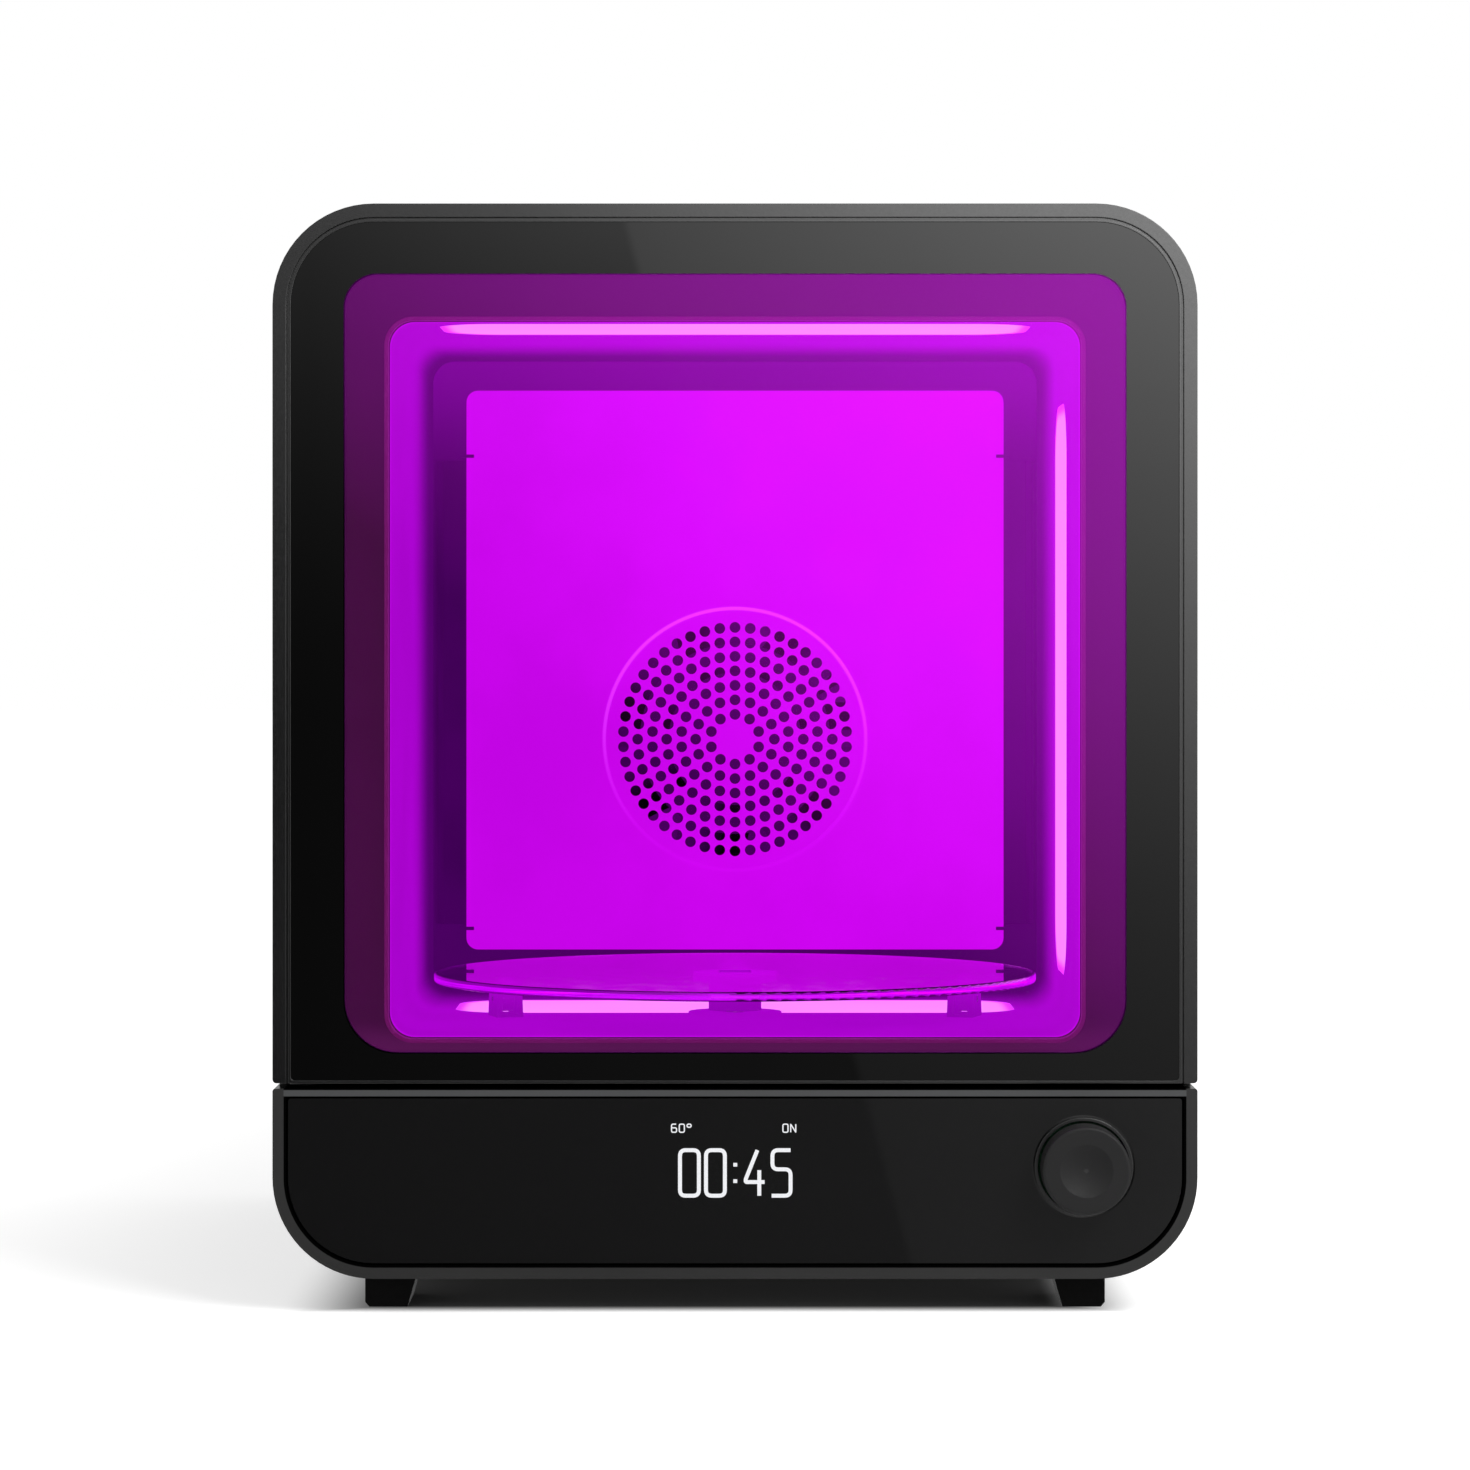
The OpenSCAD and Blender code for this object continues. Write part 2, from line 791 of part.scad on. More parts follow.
// Foot: outer side upright, inner side sloped, chamfered where it meets the table
module foot(side, y0) {
    top_w = 15.8;
    low_w = 11.5;
    color(black)
        translate([0, y0 + foot_l, 0])
            rotate([90, 0, 0])
                linear_extrude(foot_l)
                    mirror([side > 0 ? 0 : 1, 0])
                        translate([unit_w / 2 - foot_inset, 0])
                            polygon([[-1.2, 0], [0, 1.4], [0, foot_h], [-top_w, foot_h],
                                     [-top_w + 0.6, foot_h - 1.6], [-1.2 - low_w, 0]]);
}
module foot_front_left() { foot(-1, front_y + foot_setback); }
module foot_front_right() { foot(1, front_y + foot_setback); }
module foot_rear_left() { foot(-1, back_y - foot_setback - foot_l); }
module foot_rear_right() { foot(1, back_y - foot_setback - foot_l); }

// Places on the outer side of the chamber's walls: Z points away from the chamber
module on_ceiling() {
    translate([0, front_y + ceiling_lens_y, chamber_top + liner_t])
        children();
}
module on_side() {
    translate([chamber_w / 2 + liner_t, front_y + side_lens_y, chamber_floor + side_lens_rise])
        rotate([0, 90, 0])
            children();
}
module on_floor() {
    translate([0, front_y + floor_lens_y, chamber_floor - liner_t])
        rotate([180, 0, 0])
            children();
}
// Sheet chamber: four walls, a front flange and openings for the light windows
module chamber_liner() {
    color(alu)
        difference() {
            union() {
                slab(liner_y, rear_wall_y)
                    difference() {
                        chamber_outline(liner_t);
                        chamber_outline(0);
                    }
                slab(liner_y, liner_y + liner_t)
                    difference() {
                        chamber_outline(10);
                        chamber_outline(liner_t / 2);
                    }
            }
            on_ceiling()
                translate([0, 0, -liner_t - cut])
                    linear_extrude(liner_t + 2 * cut)
                        rounded(lens_l, lens_w, lens_r);
            on_side()
                translate([0, 0, -liner_t - cut])
                    linear_extrude(liner_t + 2 * cut)
                        rounded(lens_l, lens_w, lens_r);
            on_floor()
                translate([0, 0, -liner_t - cut])
                    linear_extrude(liner_t + 2 * cut)
                        difference() {
                            rounded(lens_l, lens_w, lens_r);
                            translate(floor_hub)
                                circle(hub_notch_r);
                        }
            bar_z(0, axis_y, chamber_floor - 5, chamber_floor + cut, shaft_r + 2);
        }
}

// Rear wall of the chamber with the air returns, the fan opening and a leg to the chassis
module chamber_back() {
    w = chamber_w + 2 * back_margin;
    h = chamber_h + 2 * back_margin - 1;
    color(dark)
        slab(rear_wall_y, back_wall_out)
            difference() {
                union() {
                    translate([0, chamber_floor + chamber_h / 2])
                        square([w, h], center = true);
                    translate([-leg_w / 2, chassis_top])
                        square([leg_w, chamber_floor - chassis_top]);
                }
                translate([0, grille_z])
                    circle(aperture_r);
                for (s = [-1, 1])
                    translate([s * slot_x - slot_w / 2, slot_z])
                        square([slot_w, slot_len]);
            }
}

// Bright panel in front of the rear wall, perforated in rings, with a raised ring
module reflector_panel() {
    color(alu)
        union() {
            slab(reflector_y, reflector_y + reflector_t)
                difference() {
                    translate([0, reflector_z + reflector_h / 2])
                        rounded(reflector_w, reflector_h, 4);
                    for (k = [0 : grille_rings - 1])
                        for (i = [0 : grille_n0 + grille_dn * k - 1])
                            translate([0, grille_z])
                                rotate(90 + i * 360 / (grille_n0 + grille_dn * k))
                                    translate([grille_r0 + grille_step * k, 0])
                                        circle(grille_hole_d / 2, $fn = 16);
                }
            slab(reflector_y - 0.8, reflector_y + 0.4)
                translate([0, grille_z])
                    difference() {
                        circle(grille_bead_r + 0.6, $fn = 128);
                        circle(grille_bead_r - 0.6, $fn = 128);
                    }
            for (sx = [-1, 1])
                for (z = [reflector_z + 20, reflector_z + reflector_h - 20])
                    bar_y(sx * (reflector_w / 2 - 9), z, reflector_y + reflector_t / 2,
                          rear_wall_y, 2.5);
        }
}

// Clips that hold the edges of the reflector panel on the rear wall
module panel_clips() {
    reach = 2.6;
    foot = 2.4;
    half_h = 0.55;
    color(dark)
        for (s = [-1, 1])
            for (z = [slot_z - 1.4, slot_z + slot_len + 1.4])
                mirror([s > 0 ? 0 : 1, 0, 0])
                    translate([reflector_w / 2, 0, z])
                        union() {
                            block([-reach, reflector_y - 1.2, -half_h],
                                  [foot, reflector_y, half_h]);
                            block([0.4, reflector_y - 0.5, -half_h], [foot, rear_wall_y, half_h]);
                        }
}

// Tray behind the rear wall that leads the returned air to the fan
module air_duct() {
    color(steel)
        difference() {
            block([-duct_w / 2, back_wall_out, duct_z],
                  [duct_w / 2, duct_back_y + duct_t, duct_z + duct_h]);
            block([duct_t - duct_w / 2, back_wall_out - cut, duct_z + duct_t],
                  [duct_w / 2 - duct_t, duct_back_y, duct_z + duct_h - duct_t]);
        }
}

// Two rings of heating element on a strap in front of the fan
module heater() {
    tube_r = 3;
    strap_end = aperture_r + 5;
    ring_y = back_wall_out + 2 + tube_r;
    strap_y = ring_y + tube_r - 0.5;
    color(steel)
        union() {
            for (r = [20, 30])
                translate([0, ring_y, grille_z])
                    rotate([90, 0, 0])
                        rotate_extrude()
                            translate([r, 0])
                                circle(tube_r, $fn = 32);
            block([-strap_end, strap_y, grille_z - 3], [strap_end, strap_y + 1.5, grille_z + 3]);
            for (s = [-1, 1])
                block([s * (strap_end - 1) - 1, back_wall_out, grille_z - 3],
                      [s * (strap_end - 1) + 1, strap_y + 1.5, grille_z + 3]);
        }
}

// Square fan frame with legs to the rear wall and struts to the motor
module fan_frame() {
    leg = fan_size / 2 - 4;
    color(black)
        union() {
            slab(fan_y, fan_y + fan_t)
                translate([0, grille_z])
                    difference() {
                        rounded(fan_size, fan_size, 3);
                        circle(fan_bore_r, $fn = 96);
                    }
            for (sx = [-1, 1])
                for (sz = [-1, 1])
                    bar_y(sx * leg, grille_z + sz * leg, back_wall_out, fan_y + cut, 3.5);
            slab(fan_y + fan_t - 2, fan_y + fan_t)
                translate([0, grille_z]) {
                    circle(fan_can_r);
                    for (a = [30, 150, 270])
                        rotate(a)
                            translate([0, -2])
                                square([fan_bore_r + 1, 4]);
                }
        }
}

// Fan motor on the struts with its fixed axle
module fan_stator() {
    color(steel)
        union() {
            bar_y(0, grille_z, fan_y + fan_t - 10, fan_y + fan_t - 2, fan_can_r - 1);
            bar_y(0, grille_z, fan_y + 1, fan_y + fan_t - 9, 1.5);
        }
}

// Fan wheel: hub cup and pitched blades
module fan_impeller() {
    depth = fan_t - 5;
    tip_r = fan_bore_r - 1;
    color(dark)
        translate([0, fan_y + 1 + depth, grille_z])
            rotate([90, 0, 0])
                difference() {
                    union() {
                        cylinder(h = depth, r = fan_hub_r);
                        intersection() {
                            cylinder(h = depth, r = tip_r, $fn = 96);
                            for (i = [0 : fan_blades - 1])
                                rotate(i * 360 / fan_blades)
                                    translate([fan_hub_r - 2, 0, depth / 2])
                                        rotate([52, 0, 0])
                                            translate([0, -0.75, -15])
                                                cube([tip_r, 1.5, 30]);
                        }
                    }
                    translate([0, 0, -cut])
                        cylinder(h = depth - 2 + cut, r = fan_can_r);
                    translate([0, 0, -cut])
                        cylinder(h = depth + 2 * cut, r = 1.5 + run);
                }
}

// Outline of a light window that leaves the drive hub free
module lens_outline(grow, hub) {
    difference() {
        rounded(lens_l + 2 * grow, lens_w + 2 * grow, lens_r + grow);
        if (hub)
            translate(floor_hub)
                circle(hub_notch_r - grow);
    }
}

// Light window: a pane set a little back from the chamber's face and a flange outside it
module lens(hub) {
    color(lilac)
        union() {
            translate([0, 0, lens_recess - liner_t])
                linear_extrude(liner_t - lens_recess + lens_flange_t / 2)
                    lens_outline(-seat, hub);
            linear_extrude(lens_flange_t)
                lens_outline(lens_flange, hub);
        }
}
module ceiling_window() { on_ceiling() lens(false); }
module side_window() { on_side() lens(false); }
module floor_window() { on_floor() lens(true); }

// Board behind a light window with rows of light chips and corner spacers
module light_board(hub) {
    w = lens_l + 2 * light_board_margin;
    d = lens_w + 2 * light_board_side;
    chip = 5;
    color(board_green)
        union() {
            difference() {
                translate([-w / 2, -d / 2, light_gap])
                    cube([w, d, board_t]);
                if (hub)
                    translate([floor_hub[0], floor_hub[1], 0])
                        cylinder(h = light_gap + 2 * board_t, r = board_notch_r);
            }
            for (i = [-5 : 5])
                for (j = [-1, 0, 1])
                    if (!hub || norm([16 * i, 18 * j] - floor_hub) > board_notch_r + chip)
                        translate([16 * i - chip / 2, 18 * j - chip / 2, light_gap - 1.4])
                            cube([chip, chip, 2]);
            for (sx = [-1, 1])
                for (sy = [-1, 1])
                    translate([sx * (w / 2 - 3), sy * (d / 2 - 3), 0])
                        cylinder(h = light_gap + board_t / 2, r = 1.6);
        }
}
module ceiling_light_board() { on_ceiling() light_board(false); }
module side_light_board() { on_side() light_board(false); }
module floor_light_board() { on_floor() light_board(true); }

// Finned heat sink behind a stretch of light board
module heat_sink(x0, x1) {
    z0 = light_gap + board_t;
    translate([x0, -lens_w / 2, z0])
        cube([x1 - x0, lens_w, 3]);
    for (j = [0 : 7])
        translate([x0, -lens_w / 2 + j * (lens_w - 1.5) / 7, z0 + 1])
            cube([x1 - x0, 1.5, 10.5]);
}
module light_heat_sinks() {
    half = lens_l / 2;
    color(alu) {
        on_ceiling() heat_sink(-half, half);
        on_side() heat_sink(-half, half);
        on_floor() heat_sink(-half, -sink_inner_x);
        on_floor() heat_sink(sink_inner_x, half);
    }
}

// Clear turntable with a square hole on the hub's drive spigot
module turntable_plate() {
    edge = 1;
    color(lilac)
        translate([0, axis_y, table_z])
            difference() {
                rotate_extrude($fn = 180)
                    union() {
                        square([table_r - edge, table_t]);
                        translate([0, edge])
                            square([table_r, table_t - 2 * edge]);
                        for (z = [edge, table_t - edge])
                            translate([table_r - edge, z])
                                circle(edge, $fn = 24);
                    }
                translate([0, 0, table_t / 2])
                    cube([spigot_w + 2 * spigot_gap, spigot_w + 2 * spigot_gap, table_t + 2 * cut],
                     center = true);
            }
}

// Hub under the turntable with the square spigot that turns it
module drive_hub() {
    color(dark)
        difference() {
            union() {
                bar_z(0, axis_y, table_z - 3, table_z, hub_r);
                bar_z(0, axis_y, chamber_floor + 0.5, table_z - 2, hub_r - 5);
                translate([0, axis_y, table_z + table_t / 2 - 0.6])
                    cube([spigot_w, spigot_w, table_t + 0.8], center = true);
            }
            bar_z(0, axis_y, chamber_floor - cut, table_z - 1, shaft_r);
        }
}

// Shaft from the motor to the hub
module motor_shaft() {
    color(steel)
        bar_z(0, axis_y, motor_top - 14, table_z - 1, shaft_r);
}

// Geared motor under the chamber's floor
module turntable_motor() {
    color(steel)
        difference() {
            bar_z(0, axis_y, motor_top - motor_h, motor_top - motor_plate_t, motor_r);
            bar_z(0, axis_y, motor_top - 14.2, motor_top, shaft_r + run);
        }
}

// Bridge on the chassis that holds the motor
module motor_bracket() {
    color(steel)
        difference() {
            union() {
                block([-leg_w / 2, axis_y - motor_leg_y, motor_top - motor_plate_t],
                      [leg_w / 2, axis_y + motor_leg_y, motor_top]);
                for (s = [-1, 1])
                    block([-leg_w / 2, axis_y + s * (motor_leg_y - 1) - 1, chassis_top],
                          [leg_w / 2, axis_y + s * (motor_leg_y - 1) + 1, motor_top - 1]);
            }
            bar_z(0, axis_y, motor_top - 2 * motor_plate_t, motor_top + cut, shaft_r + 2);
        }
}

// Place on the circle of the rollers: X points outwards from the turntable's axis
module at_roller(i) {
    translate([0, axis_y, 0])
        rotate(roller_angles[i])
            translate([roller_ring_r, 0, 0])
                children();
}

// Three forked brackets on the chamber's floor, wider at the foot
module roller_brackets() {
    half = roller_w / 2 + cheek_gap;
    top = roller_z + axle_r + 1.4 - chamber_floor;
    color([0.9, 0.88, 0.8])
        for (i = [0 : 2])
            at_roller(i)
                translate([0, 0, chamber_floor])
                    difference() {
                        rotate([90, 0, 90])
                            translate([0, 0, -half - cheek_t])
                                linear_extrude(2 * (half + cheek_t))
                                    polygon([[-6, 0], [6, 0], [4.7, top], [-4.7, top]]);
                        block([-half, -10, 1], [half, 10, top + cut]);
                        rotate([0, 90, 0])
                            translate([chamber_floor - roller_z, 0, -half - cheek_t - cut])
                                cylinder(h = 2 * (half + cheek_t + cut), r = axle_r);
                    }
}

// Roller under the turntable's edge
module roller(i) {
    color(alu)
        at_roller(i)
            translate([0, 0, roller_z])
                rotate([0, 90, 0])
                    difference() {
                        cylinder(h = roller_w, r = roller_r, center = true);
                        cylinder(h = roller_w + cut, r = axle_r + run, center = true);
                    }
}
module roller_left() { roller(0); }
module roller_right() { roller(1); }
module roller_rear() { roller(2); }

// Axles fixed in the brackets
module roller_axles() {
    color(steel)
        for (i = [0 : 2])
            at_roller(i)
                translate([0, 0, roller_z])
                    rotate([0, 90, 0])
                        cylinder(h = roller_w + 2 * (cheek_gap + cheek_t), r = axle_r, center = true);
}

// Power supply on the chassis, under the left of the chamber
module power_supply() {
    low = [supply_low[0], supply_low[1], chassis_top];
    color(steel)
        union() {
            block(low, low + supply_size);
            block(low + [6, -8, 0], low + [supply_size[0] - 6, 2, 14]);
        }
}

// Main board with its larger components
module main_board() {
    z0 = chassis_top + standoff_h;
    color(board_green)
        union() {
            block([board_low[0], board_low[1], z0],
                  [board_low[0] + board_size[0], board_low[1] + board_size[1], z0 + board_t]);
            for (p = [[10, 12, 18, 14, 12], [38, 14, 20, 20, 8], [12, 44, 30, 30, 5],
                      [48, 52, 12, 26, 10], [10, 84, 46, 8, 9]])
                block([board_low[0] + p[0], board_low[1] + p[1], z0 + board_t / 2],
                      [board_low[0] + p[0] + p[2], board_low[1] + p[1] + p[3], z0 + board_t + p[4]]);
        }
}

// Standoffs between the main board and the chassis
module board_standoffs() {
    color(steel)
        for (ix = [0, 1])
            for (iy = [0, 1])
                bar_z(board_low[0] + board_inset + ix * (board_size[0] - 2 * board_inset),
                      board_low[1] + board_inset + iy * (board_size[1] - 2 * board_inset),
                      chassis_top, chassis_top + standoff_h, 2.5);
}

// Space in the door that the fixed hinge arm needs as the door turns round it
module arm_slot() {
    block([-unit_w / 2 - cut, hinge_y - arm_half_w - 1.5, arm_z - arm_slot_gap],
          [hinge_x + arm_half_w + 0.5, door_back_y + cut, arm_z + hinge_arm_t + arm_slot_gap]);
}

// Rounds the rear edge of the door on the hinge side so that it turns clear of the cabinet
module hinge_edge_cut() {
    x = door_edge_r - unit_w / 2;
    y = door_back_y - door_edge_r;
    difference() {
        block([-unit_w / 2 - cut, y, door_bottom - cut], [x, door_back_y + cut, unit_h + cut]);
        bar_z(x, y, door_bottom - 2 * cut, unit_h + 2 * cut, door_edge_r);
    }
}

// Outer rim of the door with a dark groove and a thin lip round the glass
module door_frame() {
    color(shell_grey)
        difference() {
            slab(front_y, door_back_y)
                door_outline(0, 0);
            slab(front_y - cut, door_back_y + cut)
                door_outline(frame_inset, rim_foot);
            slab(front_y - cut, front_y + rim_groove_d)
                difference() {
                    door_outline(rim_w, -2 * cut);
                    door_outline(rim_w + rim_groove_w, -3 * cut);
                }
            hinge_edge_cut();
            arm_slot();
            bar_z(hinge_x, hinge_y, door_bottom - cut, door_bottom + 5, bush_r);
        }
}

// Moulded frame behind the glass: black border of the window, magnets and hinge bushes
module door_inner_frame() {
    color(black)
        difference() {
            slab(inner_y, door_back_y)
                door_outline(glass_inset, glass_foot);
            slab(inner_y - cut, door_back_y + cut)
                window_outline(0);
            slab(inner_y + 2, door_back_y + cut)
                window_outline(3);
            hinge_edge_cut();
            arm_slot();
            bar_z(hinge_x, hinge_y, door_bottom - cut, door_bottom + pin_reach + 3, bush_r);
            bar_z(hinge_x, hinge_y, arm_z - pin_reach - 2, arm_z + hinge_arm_t + pin_reach + 2,
                  bush_r);
            for (z = magnet_z())
                bar_y(magnet_x, z, door_back_y - magnet_t, door_back_y + cut, magnet_r);
        }
}

// Glass pane over the whole face of the door
module door_glass() {
    color([0.3, 0.05, 0.3, 0.5])
        slab(glass_y, inner_y)
            door_outline(glass_inset, glass_foot);
}

// Upper hinge arm: a plate on the bulkhead bent forward to the pin
module hinge_arm() {
    plate_t = 2;
    color(steel)
        difference() {
            union() {
                block([hinge_x - arm_half_w, bulkhead_y - plate_t, arm_z - 12],
                      [hinge_x + 2 * arm_half_w, bulkhead_y, arm_z + hinge_arm_t + 8]);
                block([hinge_x - arm_half_w, hinge_y, arm_z],
                      [hinge_x + arm_half_w, bulkhead_y - plate_t / 2, arm_z + hinge_arm_t]);
                bar_z(hinge_x, hinge_y, arm_z, arm_z + hinge_arm_t, arm_half_w);
            }
            bar_z(hinge_x, hinge_y, arm_z - cut, arm_z + hinge_arm_t + cut, hinge_pin_r);
        }
}

// Fixed hinge pins: the lower one in the base front, the upper one in the arm
module hinge_pins() {
    color(steel) {
        bar_z(hinge_x, hinge_y, base_top - pin_reach + 1.5, door_bottom + pin_reach, hinge_pin_r);
        bar_z(hinge_x, hinge_y, arm_z - pin_reach + 1, arm_z + hinge_arm_t + pin_reach - 1,
              hinge_pin_r);
    }
}

// Bush with a bore that runs on a pin
module bush(z0, z1) {
    difference() {
        bar_z(hinge_x, hinge_y, z0, z1, bush_r);
        bar_z(hinge_x, hinge_y, z0 - cut, z1 + cut, hinge_pin_r + run);
    }
}
module hinge_bushes() {
    color([0.9, 0.88, 0.8]) {
        difference() {
            union() {
                bar_z(hinge_x, hinge_y, door_bottom - door_gap + 0.4, door_bottom, bush_r + 2);
                bar_z(hinge_x, hinge_y, door_bottom - cut, door_bottom + pin_reach + 2, bush_r);
            }
            bar_z(hinge_x, hinge_y, base_top - cut, door_bottom + pin_reach + 3,
                  hinge_pin_r + run);
        }
        bush(arm_z + hinge_arm_t + arm_slot_gap, arm_z + hinge_arm_t + pin_reach + 1);
        bush(arm_z - pin_reach - 1, arm_z - arm_slot_gap);
    }
}

// Levels of the door's magnets: two that hold it and one for the sensor
function magnet_z() = [
    door_bottom + 40,
    (door_bottom + unit_h) / 2,
    unit_h - 50
];
module door_magnets() {
    color(steel)
        for (z = magnet_z())
            bar_y(magnet_x, z, door_back_y - magnet_t, door_back_y - 0.1, magnet_r);
}

// Steel pads on the bulkhead that the magnets hold on to
module strike_plates() {
    color(steel)
        for (z = [magnet_z()[0], magnet_z()[2]])
            bar_y(magnet_x, z, door_back_y + magnet_gap, bulkhead_y, magnet_r + 1);
}

// Reed sensor behind the bulkhead, level with the middle magnet
module door_sensor() {
    color([0.8, 0.8, 0.82])
        translate([magnet_x, liner_y + 4, magnet_z()[1]])
            cube([6, 8, 26], center = true);
}

cabinet_shell();
front_bulkhead();
chamber_gasket();
base_fascia();
control_panel();
display_module();
interface_board();
encoder_body();
encoder_plunger();
encoder_shaft();
knob_cap();
knob_bezel();
rear_cover();
cover_screws();
power_inlet();
power_switch();
power_rocker();
chassis_plate();
foot_front_left();
foot_front_right();
foot_rear_left();
foot_rear_right();
chamber_liner();
chamber_back();
reflector_panel();
panel_clips();
air_duct();
heater();
fan_frame();
fan_stator();
fan_impeller();
ceiling_light_board();
side_light_board();
floor_light_board();
ceiling_window();
side_window();
floor_window();
light_heat_sinks();
turntable_plate();
drive_hub();
motor_shaft();
turntable_motor();
motor_bracket();
roller_brackets();
roller_left();
roller_right();
roller_rear();
roller_axles();
power_supply();
main_board();
board_standoffs();
door_frame();
door_inner_frame();
door_glass();
hinge_arm();
hinge_pins();
hinge_bushes();
door_magnets();
strike_plates();
door_sensor();
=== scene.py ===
"""Looks of the dental lab light curing unit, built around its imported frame.

Metres, X to the right, Y into the depth, Z up, as in the frame.
"""
import json
import math

import bpy
import numpy as np
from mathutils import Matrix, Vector


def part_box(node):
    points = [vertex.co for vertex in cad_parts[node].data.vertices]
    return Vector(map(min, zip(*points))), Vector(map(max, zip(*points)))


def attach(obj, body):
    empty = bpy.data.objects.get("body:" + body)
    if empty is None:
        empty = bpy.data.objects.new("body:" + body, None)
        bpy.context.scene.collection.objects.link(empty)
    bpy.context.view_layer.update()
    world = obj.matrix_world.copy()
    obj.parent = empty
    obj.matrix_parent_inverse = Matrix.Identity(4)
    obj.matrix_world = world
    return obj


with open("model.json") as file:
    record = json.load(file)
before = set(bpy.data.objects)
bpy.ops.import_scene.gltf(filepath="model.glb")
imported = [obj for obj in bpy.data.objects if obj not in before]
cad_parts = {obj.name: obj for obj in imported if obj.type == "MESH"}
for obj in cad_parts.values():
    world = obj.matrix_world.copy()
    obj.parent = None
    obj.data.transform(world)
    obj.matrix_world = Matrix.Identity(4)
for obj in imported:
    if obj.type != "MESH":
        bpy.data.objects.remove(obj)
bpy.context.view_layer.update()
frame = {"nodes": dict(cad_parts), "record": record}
nodes = frame["nodes"]
MM = 0.001
TINY = 0.0001 * MM

# Photograph: its side, focal length and horizon in pixels, and the camera's place from the door
PHOTO_PX = 1470
FOCAL_PX = 5112
HORIZON_PX = 636
CAMERA_BACK = 1514 * MM
CAMERA_UP = 200.9 * MM
SENSOR_MM = 36

# Outlines of the unit and of its pieces, taken from the frame
BODY_LOW, BODY_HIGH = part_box("cabinet_shell")
DOOR_LOW, DOOR_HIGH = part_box("door_frame")
PANEL_LOW, PANEL_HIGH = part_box("control_panel")
PLATE_LOW, PLATE_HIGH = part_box("turntable_plate")
REFLECTOR_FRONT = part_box("reflector_panel")[0].y
BASE_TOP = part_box("base_fascia")[1].z
HALF_W = DOOR_HIGH.x

# Unit's corner radius, painted band round the control panel, and foot of the ledge above it
UNIT_CORNER = 30 * MM
BAND_WIDTH = 3.3 * MM
LEDGE_FOOT = PANEL_HIGH.z + 0.65 * MM

# Clear window in the door's glass: black border at its sides, top and foot, and its corner radii
BORDER_SIDE = 21 * MM
BORDER_TOP = 20.7 * MM
BORDER_FOOT = 8.8 * MM
WINDOW_CORNER_TOP = 10 * MM
WINDOW_CORNER_FOOT = 15.7 * MM

# Fan grille: height of its centre, and radius of the raised bead round it
GRILLE_Z = 165.3 * MM
BEAD_RADIUS = 45.1 * MM

# Light windows: flange hidden by the chamber's walls, half of their depth, and corner radius
WINDOW_FLANGE = 2 * MM
LENS_HALF_DEPTH = 31 * MM
LENS_CORNER = 18 * MM


def add(tree, kind, inputs=None, **settings):
    """Adds a shader node, sets its properties, and fills its inputs with values or links."""
    made = tree.nodes.new(kind)
    for name, value in settings.items():
        setattr(made, name, value)
    for name, value in (inputs or {}).items():
        if isinstance(value, bpy.types.NodeSocket):
            tree.links.new(value, made.inputs[name])
        else:
            made.inputs[name].default_value = value
    return made


def calc(tree, operation, *values, clamp=False):
    """Output of one Math node over numbers or sockets."""
    inputs = dict(enumerate(values))
    made = add(tree, "ShaderNodeMath", inputs, operation=operation, use_clamp=clamp)
    return made.outputs[0]


def chain(tree, operation, first, *rest):
    """Numbers or sockets joined one after the other by the same Math operation."""
    for value in rest:
        first = calc(tree, operation, first, value)
    return first


def length(tree, a, b):
    """Root of the sum of two squares."""
    squares = [calc(tree, "POWER", side, 2) for side in (a, b)]
    return calc(tree, "SQRT", calc(tree, "ADD", *squares))


def blend(tree, factor, low, high):
    """Colour between two colours or sockets."""
    mix = add(tree, "ShaderNodeMix", {0: factor}, data_type="RGBA")
    for socket, value in ((6, low), (7, high)):
        if isinstance(value, bpy.types.NodeSocket):
            tree.links.new(value, mix.inputs[socket])
        else:
            mix.inputs[socket].default_value = (*value, 1)
    return mix.outputs[2]


def ramp(tree, value, low, high, to_low=0.0, to_high=1.0, smooth=True):
    """Value carried from one range to another and held at its ends."""
    kind = "SMOOTHSTEP" if smooth else "LINEAR"
    made = add(tree, "ShaderNodeMapRange", {0: value, 1: low, 2: high, 3: to_low, 4: to_high},
               interpolation_type=kind)
    return made.outputs[0]


def object_point(tree):
    """Object coordinates as one vector."""
    return add(tree, "ShaderNodeTexCoord").outputs["Object"]


def object_axes(tree):
    """Object coordinates as x, y and z."""
    return add(tree, "ShaderNodeSeparateXYZ", {0: object_point(tree)}).outputs


FLOAT, COLOR, VECTOR = "NodeSocketFloat", "NodeSocketColor", "NodeSocketVector"


def group(name, takes, gives):
    """Empty shader node group with named inputs (name, kind, value) and outputs (name, kind)."""
    made = bpy.data.node_groups.new(name, "ShaderNodeTree")
    for label, kind, value in takes:
        socket = made.interface.new_socket(label, in_out="INPUT", socket_type=kind)
        socket.default_value = value
    for label, kind in gives:
        made.interface.new_socket(label, in_out="OUTPUT", socket_type=kind)
    source = made.nodes.new("NodeGroupInput")
    sink = made.nodes.new("NodeGroupOutput")
    return made, source.outputs, sink.inputs


def place(tree, made, inputs=None):
    """Puts a node group into a material and returns its outputs."""
    return add(tree, "ShaderNodeGroup", inputs, node_tree=made).outputs


